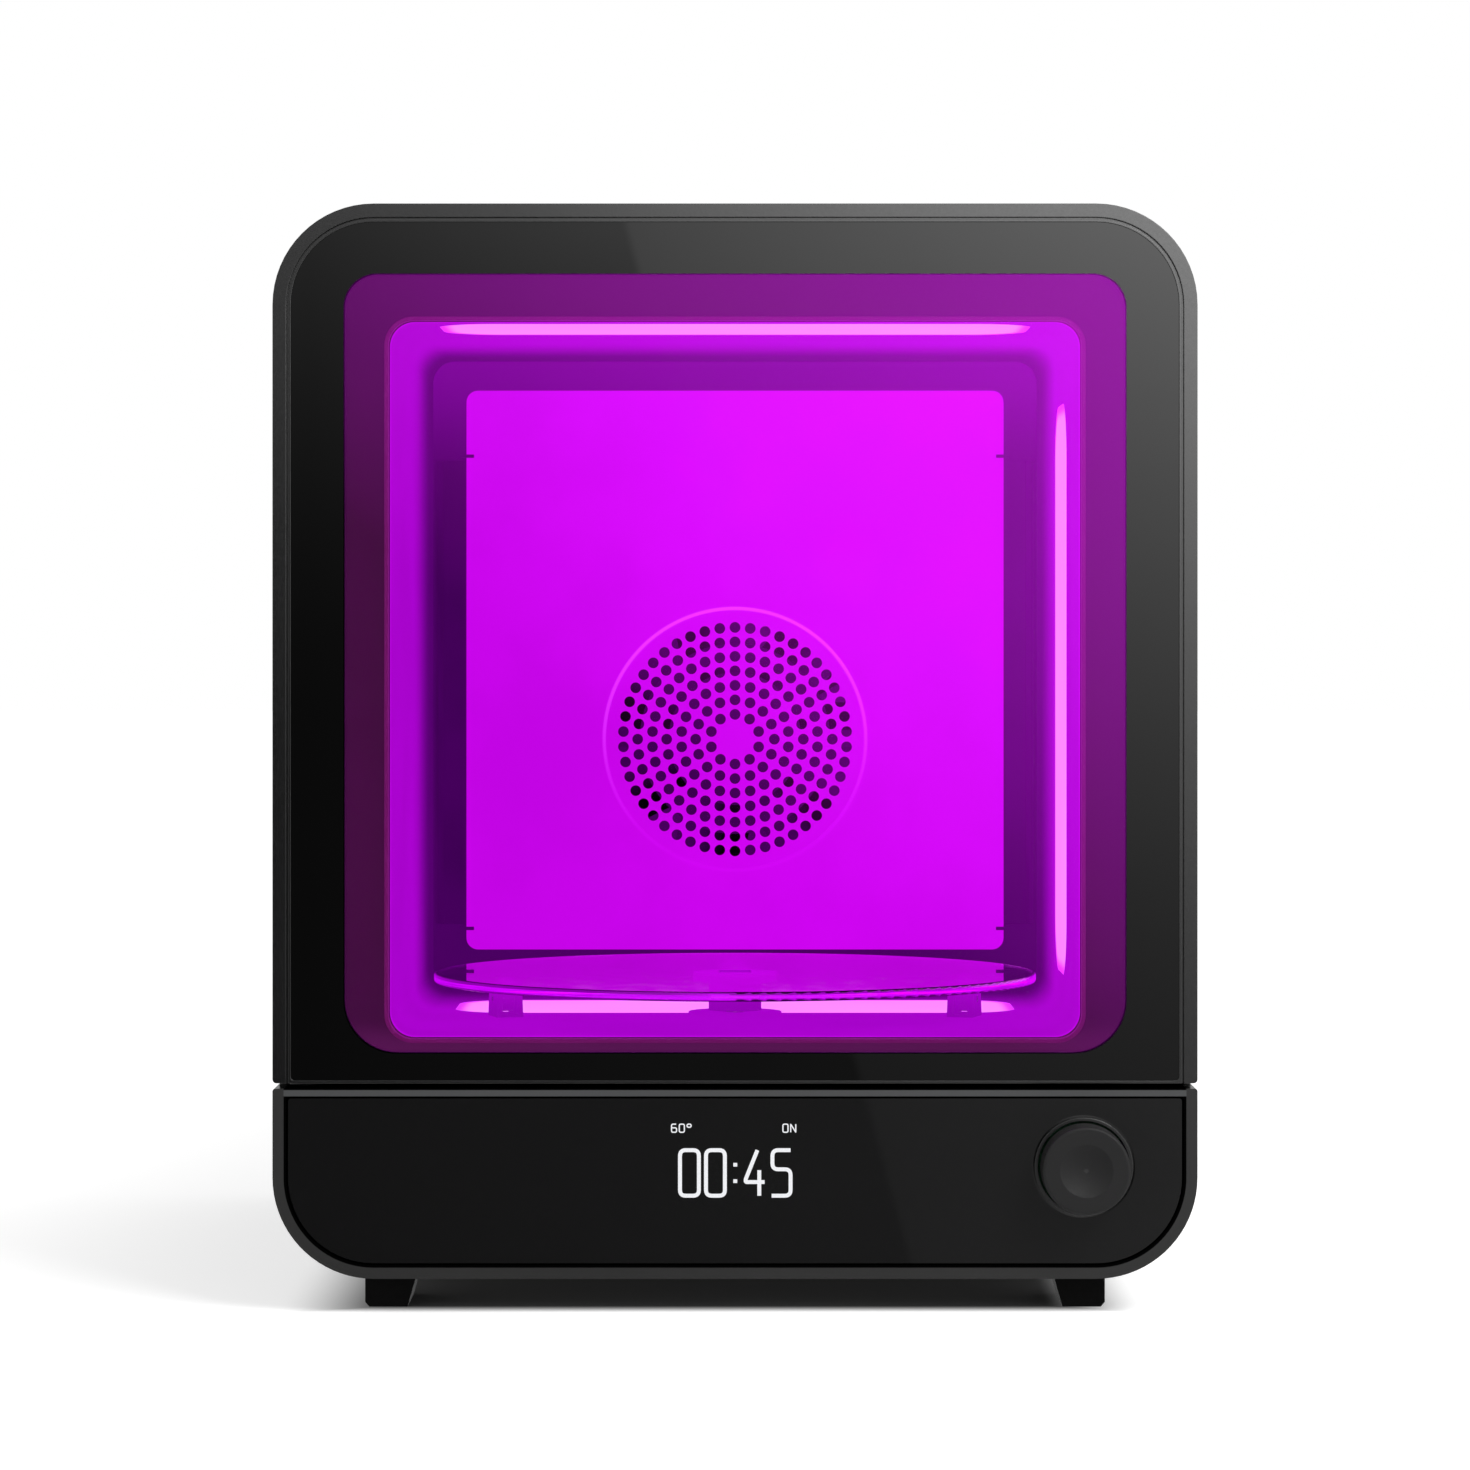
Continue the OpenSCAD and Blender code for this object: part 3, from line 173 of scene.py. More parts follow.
def make_rounded():
    """Signed distance to a rounded rectangle: outside its corner circles' centres the length of
    the offset less the radius, inside the larger offset less the radius."""
    made, takes, gives = group(
        "rounded_outline",
        [("Across", FLOAT, 0), ("Up", FLOAT, 0), ("Half Width", FLOAT, 0.1),
         ("Half Height", FLOAT, 0.1), ("Upper Radius", FLOAT, 0.01), ("Lower Radius", FLOAT, 0.01)],
        [("Distance", FLOAT)])
    is_up = calc(made, "GREATER_THAN", takes["Up"], 0)
    gap = calc(made, "SUBTRACT", takes["Upper Radius"], takes["Lower Radius"])
    radius = calc(made, "MULTIPLY_ADD", is_up, gap, takes["Lower Radius"])
    sides = []
    for along, half in (("Across", "Half Width"), ("Up", "Half Height")):
        size = calc(made, "SUBTRACT", takes[half], radius)
        sides.append(calc(made, "SUBTRACT", calc(made, "ABSOLUTE", takes[along]), size))
    corner = length(made, *[calc(made, "MAXIMUM", side, 0) for side in sides])
    inner = calc(made, "MINIMUM", calc(made, "MAXIMUM", *sides), 0)
    distance = calc(made, "SUBTRACT", calc(made, "ADD", corner, inner), radius)
    made.links.new(distance, gives["Distance"])
    return made


def make_grain():
    """Fine paint or mould texture: octaves of noise as a height, and a slow patch mask."""
    made, takes, gives = group(
        "fine_grain",
        [("Scale", FLOAT, 900), ("Patch Scale", FLOAT, 14)],
        [("Height", FLOAT), ("Patch", FLOAT)])
    point = object_point(made)
    noise = add(made, "ShaderNodeTexNoise", {
        "Vector": point, "Scale": takes["Scale"], "Detail": 3, "Roughness": 0.6}).outputs[0]
    patch = add(made, "ShaderNodeTexNoise", {
        "Vector": point, "Scale": takes["Patch Scale"], "Detail": 4}).outputs[0]
    made.links.new(noise, gives["Height"])
    made.links.new(ramp(made, patch, 0.3, 0.7), gives["Patch"])
    return made


def make_edge_wear_and_highlight():
    """Mask of outer edges, for wear and a painted highlight: where the rounded normal leaves the
    true one, broken up by noise.
    """
    made, takes, gives = group(
        "edge_wear_and_highlight",
        [("Width", FLOAT, 0.0006), ("Amount", FLOAT, 0.5)],
        [("Mask", FLOAT), ("Normal", VECTOR)])
    soft = add(made, "ShaderNodeBevel", {"Radius": takes["Width"]}, samples=4).outputs[0]
    true = add(made, "ShaderNodeNewGeometry").outputs["Normal"]
    turn = add(made, "ShaderNodeVectorMath", {0: soft, 1: true}, operation="DOT_PRODUCT")
    edge = ramp(made, turn.outputs["Value"], 0.999, 0.86)
    noise = add(made, "ShaderNodeTexNoise", {
        "Vector": object_point(made), "Scale": 160, "Detail": 5}).outputs[0]
    mask = chain(made, "MULTIPLY", edge, ramp(made, noise, 0.4, 0.62), takes["Amount"])
    made.links.new(mask, gives["Mask"])
    made.links.new(soft, gives["Normal"])
    return made


def make_brushed():
    """Brushed metal: noise drawn out along X as a height and a tone."""
    made, takes, gives = group(
        "brushed_lines",
        [("Stretch", VECTOR, (4, 300, 900))],
        [("Height", FLOAT), ("Tone", FLOAT)])
    drawn = add(made, "ShaderNodeVectorMath", {0: object_point(made), 1: takes["Stretch"]},
                operation="MULTIPLY").outputs[0]
    noise = add(made, "ShaderNodeTexNoise", {"Vector": drawn, "Scale": 3, "Detail": 4}).outputs[0]
    made.links.new(noise, gives["Height"])
    made.links.new(ramp(made, noise, 0.35, 0.65), gives["Tone"])
    return made


def make_smudge():
    """Faint wiped haze on a glossy face: turned, stretched noise under a patchy mask."""
    made, takes, gives = group("wiped_haze", [("Amount", FLOAT, 0.1)], [("Mask", FLOAT)])
    point = object_point(made)
    turned = add(made, "ShaderNodeMapping", {
        "Vector": point, "Rotation": (0, 0.6, 0), "Scale": (3, 3, 14)}).outputs[0]
    streak = add(made, "ShaderNodeTexNoise", {
        "Vector": turned, "Scale": 6, "Detail": 6, "Roughness": 0.65}).outputs[0]
    patch = add(made, "ShaderNodeTexNoise", {"Vector": point, "Scale": 9, "Detail": 3}).outputs[0]
    mask = chain(made, "MULTIPLY", ramp(made, streak, 0.42, 0.7), ramp(made, patch, 0.4, 0.65),
                 takes["Amount"])
    made.links.new(mask, gives["Mask"])
    return made


def make_chamber_light():
    """Chamber light of a level: red is the level, green is a share of it, and blue is a share of
    the level raised to a power, so that dark sheets turn more violet."""
    made, takes, gives = group(
        "chamber_light",
        [("Level", FLOAT, 0.4), ("Green", FLOAT, 0.004), ("Blue", FLOAT, 1.42),
         ("Blue Power", FLOAT, 0.93)],
        [("Color", COLOR)])
    level = takes["Level"]
    blue = calc(made, "MULTIPLY", calc(made, "POWER", level, takes["Blue Power"]), takes["Blue"])
    green = calc(made, "MULTIPLY", level, takes["Green"])
    color = add(made, "ShaderNodeCombineColor", {0: level, 1: green, 2: blue}).outputs[0]
    made.links.new(color, gives["Color"])
    return made


ROUNDED = make_rounded()
GRAIN = make_grain()
WEAR_AND_HIGHLIGHT = make_edge_wear_and_highlight()
BRUSHED = make_brushed()
SMUDGE = make_smudge()
CHAMBER_LIGHT = make_chamber_light()


def finish(name, **constants):
    """New material with a Principled shader whose constants are set on its own sockets, named
    with underscores for spaces."""
    made = bpy.data.materials.new(name)
    made.use_nodes = True
    sockets = made.node_tree.nodes["Principled BSDF"].inputs
    for label, value in constants.items():
        sockets[label.replace("_", " ")].default_value = value
    return made, made.node_tree, sockets


def feed(tree, sockets, **sources):
    """Links sources to a shader's sockets, named with underscores for spaces."""
    for label, source in sources.items():
        tree.links.new(source, sockets[label.replace("_", " ")])


def grained(tree, sockets, scale, depth, normal=None, strength=0.3):
    """Gives a shader a fine grain as bump, on a softened normal where one is given."""
    grain = place(tree, GRAIN, {"Scale": scale})
    inputs = {"Height": grain["Height"], "Distance": depth, "Strength": strength}
    if normal is not None:
        inputs["Normal"] = normal
    feed(tree, sockets, Normal=add(tree, "ShaderNodeBump", inputs).outputs[0])
    return grain


PAINT_GRAIN = dict(scale=1400, depth=0.03 * MM, strength=0.12)


def satin_paint(name, gloss, smooth, rough):
    """Dark textured paint with faintly paler edges, part wear and part painted highlight: a gloss
    level and a span of roughness.
    """
    made, tree, sockets = finish(name, Specular_IOR_Level=gloss)
    wear_and_highlight = place(tree, WEAR_AND_HIGHLIGHT, {"Width": 0.25 * MM, "Amount": 0.15})
    grain = grained(tree, sockets, normal=wear_and_highlight["Normal"], **PAINT_GRAIN)
    tone = blend(tree, grain["Patch"], (0.005, 0.005, 0.0052), (0.0075, 0.0075, 0.0077))
    # Paler edges: part wear, part painted highlight.
    feed(tree, sockets,
         Base_Color=blend(tree, wear_and_highlight["Mask"], tone, (0.03, 0.03, 0.03)),
         Roughness=ramp(tree, grain["Height"], 0.3, 0.7, smooth, rough))
    return made


def base_paint():
    """Paint of the base front: a band round the control panel with a dark line of painted shade in
    the gap at its inner edge, and a paler ledge above the panel, a painted highlight, between two
    dark lines of painted shade."""
    made, tree, sockets = finish("base_paint", Specular_IOR_Level=0.0, Coat_IOR=1.7,
                                 Coat_Roughness=0.16)
    grain = grained(tree, sockets, **PAINT_GRAIN)
    x, y, z = object_axes(tree)
    middle = (BODY_HIGH.z + BODY_LOW.z) / 2
    outline = place(tree, ROUNDED, {
        "Across": x, "Up": calc(tree, "SUBTRACT", z, middle), "Half Width": HALF_W,
        "Half Height": BODY_HIGH.z - middle, "Upper Radius": UNIT_CORNER,
        "Lower Radius": UNIT_CORNER})["Distance"]
    soft = 0.05 * MM
    ledge_top = BASE_TOP - 0.4 * MM
    within = ramp(tree, outline, soft - BAND_WIDTH, -soft - BAND_WIDTH)
    above = ramp(tree, z, LEDGE_FOOT - soft, LEDGE_FOOT + soft)
    below = ramp(tree, z, ledge_top + soft, ledge_top - soft)
    ledge = chain(tree, "MULTIPLY", within, above, below)
    # Near-black painted shade inside the band, where the gaps round the panel and beside the ledge
    # are seen.
    dark = calc(tree, "SUBTRACT", within, ledge)
    tone = blend(tree, grain["Patch"], (0.036, 0.036, 0.0355), (0.040, 0.040, 0.0395))
    # Paler ledge: a painted highlight.
    tone = blend(tree, ledge, tone, (0.085, 0.088, 0.089))
    feed(tree, sockets,
         Base_Color=blend(tree, dark, tone, (0.001, 0.001, 0.001)),
         Coat_Weight=ramp(tree, dark, 0, 1, 0.4, 0.0, smooth=False),
         Roughness=ramp(tree, grain["Height"], 0.3, 0.7, 0.35, 0.45))
    return made


def gloss_panel():
    """Polished black control panel with a faint wiped haze."""
    made, tree, sockets = finish("gloss_panel", Specular_IOR_Level=0.0, Coat_Weight=1.0,
                                 Coat_Roughness=0.01, Coat_IOR=1.5)
    haze = place(tree, SMUDGE, {"Amount": 0.12})["Mask"]
    feed(tree, sockets,
         Base_Color=blend(tree, haze, (0.0068, 0.0068, 0.0069), (0.0105, 0.0105, 0.0107)),
         Roughness=ramp(tree, haze, 0, 0.2, 0.05, 0.3, smooth=False))
    return made


def window_distance(tree):
    """Signed distance to the clear window's outline on the door glass."""
    x, y, z = object_axes(tree)
    top = DOOR_HIGH.z - BORDER_TOP
    foot = DOOR_LOW.z + BORDER_FOOT
    return place(tree, ROUNDED, {
        "Across": x, "Up": calc(tree, "SUBTRACT", z, (top + foot) / 2),
        "Half Width": HALF_W - BORDER_SIDE, "Half Height": (top - foot) / 2,
        "Upper Radius": WINDOW_CORNER_TOP, "Lower Radius": WINDOW_CORNER_FOOT})["Distance"]


def door_pane():
    """Glass of the door: a black printed border, and a violet-tinted clear window with a faint
    haze and a veil of light that grows to the right and upwards."""
    made, tree, sockets = finish("door_pane", Transmission_Weight=1.0, Roughness=0.0, IOR=1.01,
                                 Specular_IOR_Level=0.0, Coat_IOR=1.5, Coat_Roughness=0.005,
                                 Emission_Strength=1.0)
    none, print_light, veil_light = (0, 0, 0), (0.0016, 0.0016, 0.0016), (0.13, 0.004, 0.165)
    distance = window_distance(tree)
    clear = ramp(tree, distance, 0.12 * MM, -0.12 * MM)
    edge = ramp(tree, distance, -1.2 * MM, -0.1 * MM)
    tint = blend(tree, edge, (0.88, 0.36, 0.90), (0.80, 0.30, 0.84))
    haze = place(tree, SMUDGE, {"Amount": 0.02})["Mask"]
    coat = calc(tree, "SUBTRACT", ramp(tree, clear, 0, 1, 1.0, 0.035, smooth=False), haze)
    x, y, z = object_axes(tree)
    side = ramp(tree, x, -116 * MM, 116 * MM, 0, 0.75, smooth=False)
    up = ramp(tree, z, 75 * MM, 310 * MM, -0.66, 0.3, smooth=False)
    glow = calc(tree, "MULTIPLY", calc(tree, "ADD", side, up, clamp=True), clear)
    light = blend(tree, clear, blend(tree, glow, print_light, veil_light),
                  blend(tree, glow, none, veil_light))
    feed(tree, sockets, Base_Color=blend(tree, clear, none, tint), Coat_Weight=coat,
         Emission_Color=light)
    return made


def glowing(name, level_of, base=(0.03, 0.003, 0.04), hue_of=None, uneven=0.02):
    """Chamber sheet lit by the violet light: level_of and hue_of give the light's level and its
    shares of green and blue in a tree, and slow patches make it uneven by a small share."""
    made, tree, sockets = finish(name, Specular_IOR_Level=0.0, Emission_Strength=1.0)
    patch = place(tree, GRAIN, {"Patch Scale": 22})["Patch"]
    level = calc(tree, "MULTIPLY", level_of(tree), ramp(tree, patch, 0, 1, 1 - uneven, 1 + uneven))
    hue = hue_of(tree) if hue_of else {}
    feed(tree, sockets,
         Emission_Color=place(tree, CHAMBER_LIGHT, {"Level": level, **hue})["Color"],
         Base_Color=blend(tree, patch, base, tuple(1.35 * c for c in base)),
         Roughness=ramp(tree, patch, 0, 1, 0.45, 0.55))
    made.cycles.emission_sampling = "NONE"
    return made


def liner_level(tree):
    """Bright from the mouth to the middle of the depth, then fading towards the rear wall, with
    a brighter lip at the mouth."""
    x, y, z = object_axes(tree)
    fade = ramp(tree, y, -20 * MM, 76 * MM, 0.43, 0.085)
    lip = ramp(tree, y, -119 * MM, -127.5 * MM, 0, 0.16)
    return calc(tree, "ADD", fade, lip)


def back_level(tree):
    """Dim rear wall with a little more light below the ceiling, darker still in its slots."""
    x, y, z = object_axes(tree)
    top = ramp(tree, z, 255 * MM, 296 * MM, 0.0, 0.09)
    in_slot = ramp(tree, y, 94.6 * MM, 96.4 * MM, 0, -0.035)
    return calc(tree, "MAXIMUM", chain(tree, "ADD", top, 0.07, in_slot), 0.01)


def bead_highlight_mask(tree):
    """Painted highlight on the raised bead round the grille: a thin ring that is strongest in its
    upper half.
    """
    x, y, z = object_axes(tree)
    rise = calc(tree, "SUBTRACT", z, GRILLE_Z)
    off_bead = calc(tree, "ABSOLUTE", calc(tree, "SUBTRACT", length(tree, x, rise), BEAD_RADIUS))
    return calc(tree, "MULTIPLY", ramp(tree, off_bead, 0.9 * MM, 0.3 * MM),
                ramp(tree, rise, -BEAD_RADIUS, BEAD_RADIUS, 0.1, 1))


def reflector_hue(tree):
    """Shares of green and blue of the reflector, paler under the painted highlight on its bead."""
    return {"Blue": 1.33, "Green": ramp(tree, bead_highlight_mask(tree), 0, 1, 0.004, 0.09)}


def reflector_level(tree):
    """Bright sheet: a little brighter to the right and upwards, brighter on its bead by a painted
    highlight, and dim inside the grille's holes, behind the sheet's front face."""
    x, y, z = object_axes(tree)
    side = ramp(tree, x, -80 * MM, 15 * MM, 0.0, 0.07)
    up = ramp(tree, z, 93 * MM, 290 * MM, 0.0, 0.045)
    # Painted highlight on the bead.
    bead = calc(tree, "MULTIPLY", bead_highlight_mask(tree), 0.3)
    level = calc(tree, "ADD", calc(tree, "ADD", side, up), calc(tree, "ADD", bead, 0.6))
    hole = ramp(tree, y, REFLECTOR_FRONT + 0.9 * MM, REFLECTOR_FRONT + 1.4 * MM, 1.0, 0.35)
    return calc(tree, "MULTIPLY", level, hole)


def duct_level(tree):
    """Faint light in the tray behind the rear wall, less towards the left."""
    x, y, z = object_axes(tree)
    return ramp(tree, x, -80 * MM, 80 * MM, 0.06, 0.075)


def fan_level(tree):
    """Faint light on what stands behind the grille, none on its rear parts."""
    x, y, z = object_axes(tree)
    return ramp(tree, y, 122 * MM, 112 * MM, 0, 0.055)


def bracket_level(tree):
    """Light of the brackets and rollers, a little darker towards the foot."""
    x, y, z = object_axes(tree)
    return ramp(tree, z, 80 * MM, 90 * MM, 0.32, 0.42)


def surround_level(tree):
    """Light on the bulkhead: strongest next to the chamber's mouth and at its foot, and none
    below the door."""
    x, y, z = object_axes(tree)
    foot = ramp(tree, z, 86 * MM, 77 * MM, 0.055, 0.095)
    level = calc(tree, "ADD", ramp(tree, y, -131 * MM, -127 * MM, 0.0, 0.02), foot)
    behind_door = ramp(tree, z, DOOR_LOW.z + 1.5 * MM, DOOR_LOW.z + 4 * MM)
    return calc(tree, "MULTIPLY", level, behind_door)


def surround_hue(tree):
    """Plum hue of the glow painted on the bulkhead, at every level of light."""
    return {"Green": 0.22, "Blue": 0.86, "Blue Power": 1.0}


def light_pane(name, axis, middle, middle_y, half_length):
    """Frosted light window along an axis: near-white core, violet towards its rounded edge."""
    made, tree, sockets = finish(name, Roughness=0.4, Emission_Strength=1.0,
                                 Base_Color=(0.3, 0.2, 0.34, 1))
    axes = object_axes(tree)
    distance = place(tree, ROUNDED, {
        "Across": calc(tree, "SUBTRACT", axes[axis], middle),
        "Up": calc(tree, "SUBTRACT", axes[1], middle_y),
        "Half Width": half_length, "Half Height": LENS_HALF_DEPTH,
        "Upper Radius": LENS_CORNER, "Lower Radius": LENS_CORNER})["Distance"]
    core = ramp(tree, distance, -1 * MM, -5 * MM)
    grain = grained(tree, sockets, 700, 0.05 * MM)
    white = blend(tree, grain["Patch"], (1.2, 0.66, 1.2), (1.24, 0.74, 1.24))
    feed(tree, sockets, Emission_Color=blend(tree, core, (0.85, 0.10, 1.05), white))
    made.cycles.emission_sampling = "NONE"
    return made


def clear_acrylic():
    """Clear turntable plate with fine scratches, whose rim carries the chamber's light, more of
    it to the right."""
    made, tree, sockets = finish("clear_acrylic", Transmission_Weight=1.0, IOR=1.49,
                                 Emission_Strength=1.0, Base_Color=(0.93, 0.80, 0.95, 1))
    middle = (PLATE_LOW.y + PLATE_HIGH.y) / 2
    centred = add(tree, "ShaderNodeMapping", {
        "Vector": object_point(tree), "Location": (0, -middle, 0)}).outputs[0]
    scratch = add(tree, "ShaderNodeTexNoise", {"Vector": centred, "Scale": 120, "Detail": 5})
    x, y, z = object_axes(tree)
    radius = length(tree, x, calc(tree, "SUBTRACT", y, middle))
    rim = ramp(tree, radius, PLATE_HIGH.x - 0.5 * MM, PLATE_HIGH.x - 0.2 * MM)
    level = calc(tree, "MULTIPLY", rim, ramp(tree, x, -50 * MM, 100 * MM, 0.26, 0.42))
    feed(tree, sockets,
         Roughness=ramp(tree, scratch.outputs[0], 0.45, 0.75, 0.004, 0.06),
         Emission_Color=place(tree, CHAMBER_LIGHT, {"Level": level})["Color"])
    return made


def plastic(name, low, high, scale=900, roughness=(0.42, 0.55), depth=0.05 * MM, gloss=0.5):
    """Moulded plastic or rubber: grained, patchy in tone, with slightly paler edges, part wear and
    part painted highlight.
    """
    made, tree, sockets = finish(name, Specular_IOR_Level=gloss)
    edge = place(tree, WEAR_AND_HIGHLIGHT, {"Width": 0.35 * MM, "Amount": 0.25})
    grain = grained(tree, sockets, scale, depth, edge["Normal"])
    tone = blend(tree, grain["Patch"], low, high)
    # Paler edges: part wear, part painted highlight.
    pale = tuple(min(1, 2.2 * c + 0.02) for c in high)
    feed(tree, sockets,
         Base_Color=blend(tree, edge["Mask"], tone, pale),
         Roughness=ramp(tree, grain["Height"], 0.3, 0.7, *roughness))
    return made


def metal(name, low, high, roughness=(0.25, 0.4)):
    """Brushed metal with a tone that follows its lines."""
    made, tree, sockets = finish(name, Metallic=1.0)
    lines = place(tree, BRUSHED)
    edge = place(tree, WEAR_AND_HIGHLIGHT, {"Width": 0.3 * MM, "Amount": 0.4})
    bump = add(tree, "ShaderNodeBump", {
        "Height": lines["Height"], "Distance": 0.02 * MM, "Strength": 0.25,
        "Normal": edge["Normal"]})
    feed(tree, sockets,
         Normal=bump.outputs[0],
         Base_Color=blend(tree, lines["Tone"], low, high),
         Roughness=ramp(tree, lines["Tone"], 0, 1, *roughness))
    return made


def circuit_board():
    """Green solder mask over raised copper traces, with small pale pads."""
    made, tree, sockets = finish("circuit_board", Specular_IOR_Level=0.5)
    point = object_point(tree)
    lanes = add(tree, "ShaderNodeTexVoronoi", {"Vector": point, "Scale": 260},
                distance="CHEBYCHEV", feature="F1")
    cells = add(tree, "ShaderNodeTexVoronoi", {"Vector": point, "Scale": 120},
                distance="EUCLIDEAN", feature="F1")
    trace = ramp(tree, lanes.outputs["Distance"], 0.32, 0.38)
    pad = ramp(tree, cells.outputs["Distance"], 0.16, 0.12)
    mask = blend(tree, trace, (0.010, 0.085, 0.032), (0.018, 0.13, 0.05))
    bump = add(tree, "ShaderNodeBump", {"Height": trace, "Distance": 0.05 * MM, "Strength": 0.5})
    feed(tree, sockets,
         Base_Color=blend(tree, pad, mask, (0.62, 0.62, 0.58)),
         Roughness=ramp(tree, trace, 0, 1, 0.28, 0.36),
         Normal=bump.outputs[0])
    return made


def lit_seal():
    """Soft seal round the chamber's mouth, lit through from the inside, more so at its back."""
    made = plastic("lit_seal", (0.03, 0.01, 0.02), (0.04, 0.014, 0.03), 600, (0.5, 0.6))
    tree = made.node_tree
    sockets = tree.nodes["Principled BSDF"].inputs
    x, y, z = object_axes(tree)
    near = ramp(tree, y, DOOR_HIGH.y, DOOR_HIGH.y + 4 * MM, 0.8, 1.1)
    color = add(tree, "ShaderNodeVectorMath", {0: (0.15, 0.012, 0.11), "Scale": near},
                operation="SCALE")
    feed(tree, sockets, Emission_Color=color.outputs[0])
    sockets["Emission Strength"].default_value = 1
    made.cycles.emission_sampling = "NONE"
    return made


RIM_PAINT = satin_paint("rim_paint", 1.0, 0.15, 0.2)
SHELL_PAINT = satin_paint("shell_paint", 0.3, 0.42, 0.52)
BASE_PAINT = base_paint()
KNOB = plastic("knob_satin", (0.012, 0.012, 0.0122), (0.015, 0.015, 0.0152), 1200, (0.5, 0.6),
               0.03 * MM, gloss=0.22)
BLACK = plastic("moulded_black", (0.013, 0.013, 0.0135), (0.018, 0.018, 0.0185), gloss=0.3)
WHITE = plastic("moulded_white", (0.74, 0.72, 0.66), (0.8, 0.78, 0.72))
RUBBER = plastic("foot_rubber", (0.003, 0.003, 0.003), (0.005, 0.005, 0.005), 500, (0.6, 0.75),
                 gloss=0.08)
DARK_METAL = metal("dark_metal", (0.02, 0.02, 0.021), (0.03, 0.03, 0.031), (0.45, 0.55))
STEEL = metal("plain_steel", (0.42, 0.43, 0.45), (0.6, 0.61, 0.63))
BOARD = circuit_board()
PANEL = gloss_panel()
PANE = door_pane()
LINER = glowing("chamber_sheet", liner_level)
BACK = glowing("rear_wall", back_level, base=(0.015, 0.002, 0.02))
REFLECTOR = glowing("reflector_sheet", reflector_level, base=(0.05, 0.005, 0.07),
                    hue_of=reflector_hue)
DUCT = glowing("duct_sheet", duct_level, base=(0.012, 0.002, 0.016), uneven=0.1)
FAN = glowing("fan_parts", fan_level, base=(0.012, 0.004, 0.014), uneven=0.15)
# Dark bulkhead with a painted plum glow.
SURROUND = glowing("plum_glow_surround", surround_level, base=(0.012, 0.003, 0.012),
                   hue_of=surround_hue)
GASKET = lit_seal()
ACRYLIC = clear_acrylic()
SCREEN = plastic("display_black", (0.004, 0.005, 0.006), (0.007, 0.008, 0.009), 300, (0.1, 0.2),
                 0.01 * MM)
BRACKET = glowing("bracket_white", bracket_level)

# Finish of each material slot of the frame, and the pieces that differ from their slot
SLOT_FINISH = {
    "cabinet_satin": SHELL_PAINT, "gloss_black": PANEL, "window_glass": PANE,
    "frame_black": SURROUND, "knob_black": KNOB, "display_black": SCREEN, "rubber_black": RUBBER,
    "chamber_sheet": LINER, "reflector_sheet": REFLECTOR, "clear_plate": ACRYLIC,
    "plain_steel": STEEL, "board_green": BOARD, "moulded_black": BLACK, "moulded_white": WHITE,
}
NODE_FINISH = {
    "door_frame": RIM_PAINT, "knob_bezel": RIM_PAINT, "base_fascia": BASE_PAINT,
    "door_inner_frame": BLACK, "hinge_bushes": BLACK,
    "hinge_arm": DARK_METAL, "hinge_pins": DARK_METAL, "light_heat_sinks": STEEL,
    "chamber_back": BACK, "panel_clips": BACK, "chamber_gasket": GASKET,
    "air_duct": DUCT, "heater": FAN, "fan_frame": FAN, "fan_impeller": FAN, "fan_stator": FAN,
    "drive_hub": BRACKET, "roller_brackets": BRACKET, "roller_left": BRACKET,
    "roller_right": BRACKET, "roller_rear": BRACKET,
}
LIGHT_WINDOWS = {"ceiling_window": 0, "side_window": 2, "floor_window": 0}


def dress(node, material):
    """Gives a CAD piece one material in place of those it came with."""
    held = nodes[node].data.materials
    held.clear()
    held.append(material)


def window_span(node, axis):
    """Middle and half length of a light window along one axis, without its hidden flange."""
    low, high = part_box(node)
    return (low[axis] + high[axis]) / 2, (high[axis] - low[axis]) / 2 - WINDOW_FLANGE


def soften(node, width):
    """Rounds the sharp edges of a CAD piece for the eye."""
    edge = nodes[node].modifiers.new("soft_edges", "BEVEL")
    edge.width = width
    edge.segments = 2
    edge.limit_method = "ANGLE"
    edge.angle_limit = math.radians(40)


for row in frame["record"]["subparts"]:
    chosen = NODE_FINISH.get(row["node"]) or SLOT_FINISH.get(row["material_slot"])
    if chosen:
        dress(row["node"], chosen)
for node, axis in LIGHT_WINDOWS.items():
    middle, half_length = window_span(node, axis)
    middle_y = window_span(node, 1)[0]
    dress(node, light_pane(node + "_light", axis, middle, middle_y, half_length))
soften("knob_cap", 0.35 * MM)
soften("knob_bezel", 0.25 * MM)

# Strokes of the generic marks, in a cell one wide and one high: corners, and whether they close
BOX = [([(0, 0), (1, 0), (1, 1), (0, 1)], True)]
GLYPHS = {
    "0": BOX,
    "O": BOX,
    "4": [([(0.62, 1), (0, 0.36), (0, 0.3), (1, 0.3)], False), ([(0.72, 0.56), (0.72, 0)], False)],
    "5": [([(1, 1), (0.04, 1), (0.04, 0.58), (1, 0.58), (1, 0), (0, 0)], False)],
    "6": [([(0.9, 1), (0, 1), (0, 0), (1, 0), (1, 0.55), (0, 0.55)], False)],
    "o": [([(0, 0.62), (0.8, 0.62), (0.8, 1), (0, 1)], True)],
    "N": [([(0, 0), (0, 1), (1, 0), (1, 1)], False)],
    ":": [([(0.5, 0.28), (0.5, 0.36)], False), ([(0.5, 0.64), (0.5, 0.72)], False)],
}
COLON_WIDTH = 0.35
SHARP_CORNER = 0.1
ARC_STEPS = 5
MARK_DEPTH = 0.03 * MM
MARK_FRONT = PANEL_LOW.y - 0.04 * MM

# Lines of marks, in millimetres: left end, foot, cell's width and height, gap, stroke, corner
MARK_LINES = {
    "display_time": ("00:45", -16.3, 35.1, 5.6, 13.5, 2.1, 1.15, 1.7),
    "display_heat": ("60o", -18.8, 53.9, 1.5, 2.4, 0.8, 0.36, 0.5),
    "display_state": ("ON", 14.2, 53.9, 1.5, 2.4, 0.8, 0.36, 0.5),
}


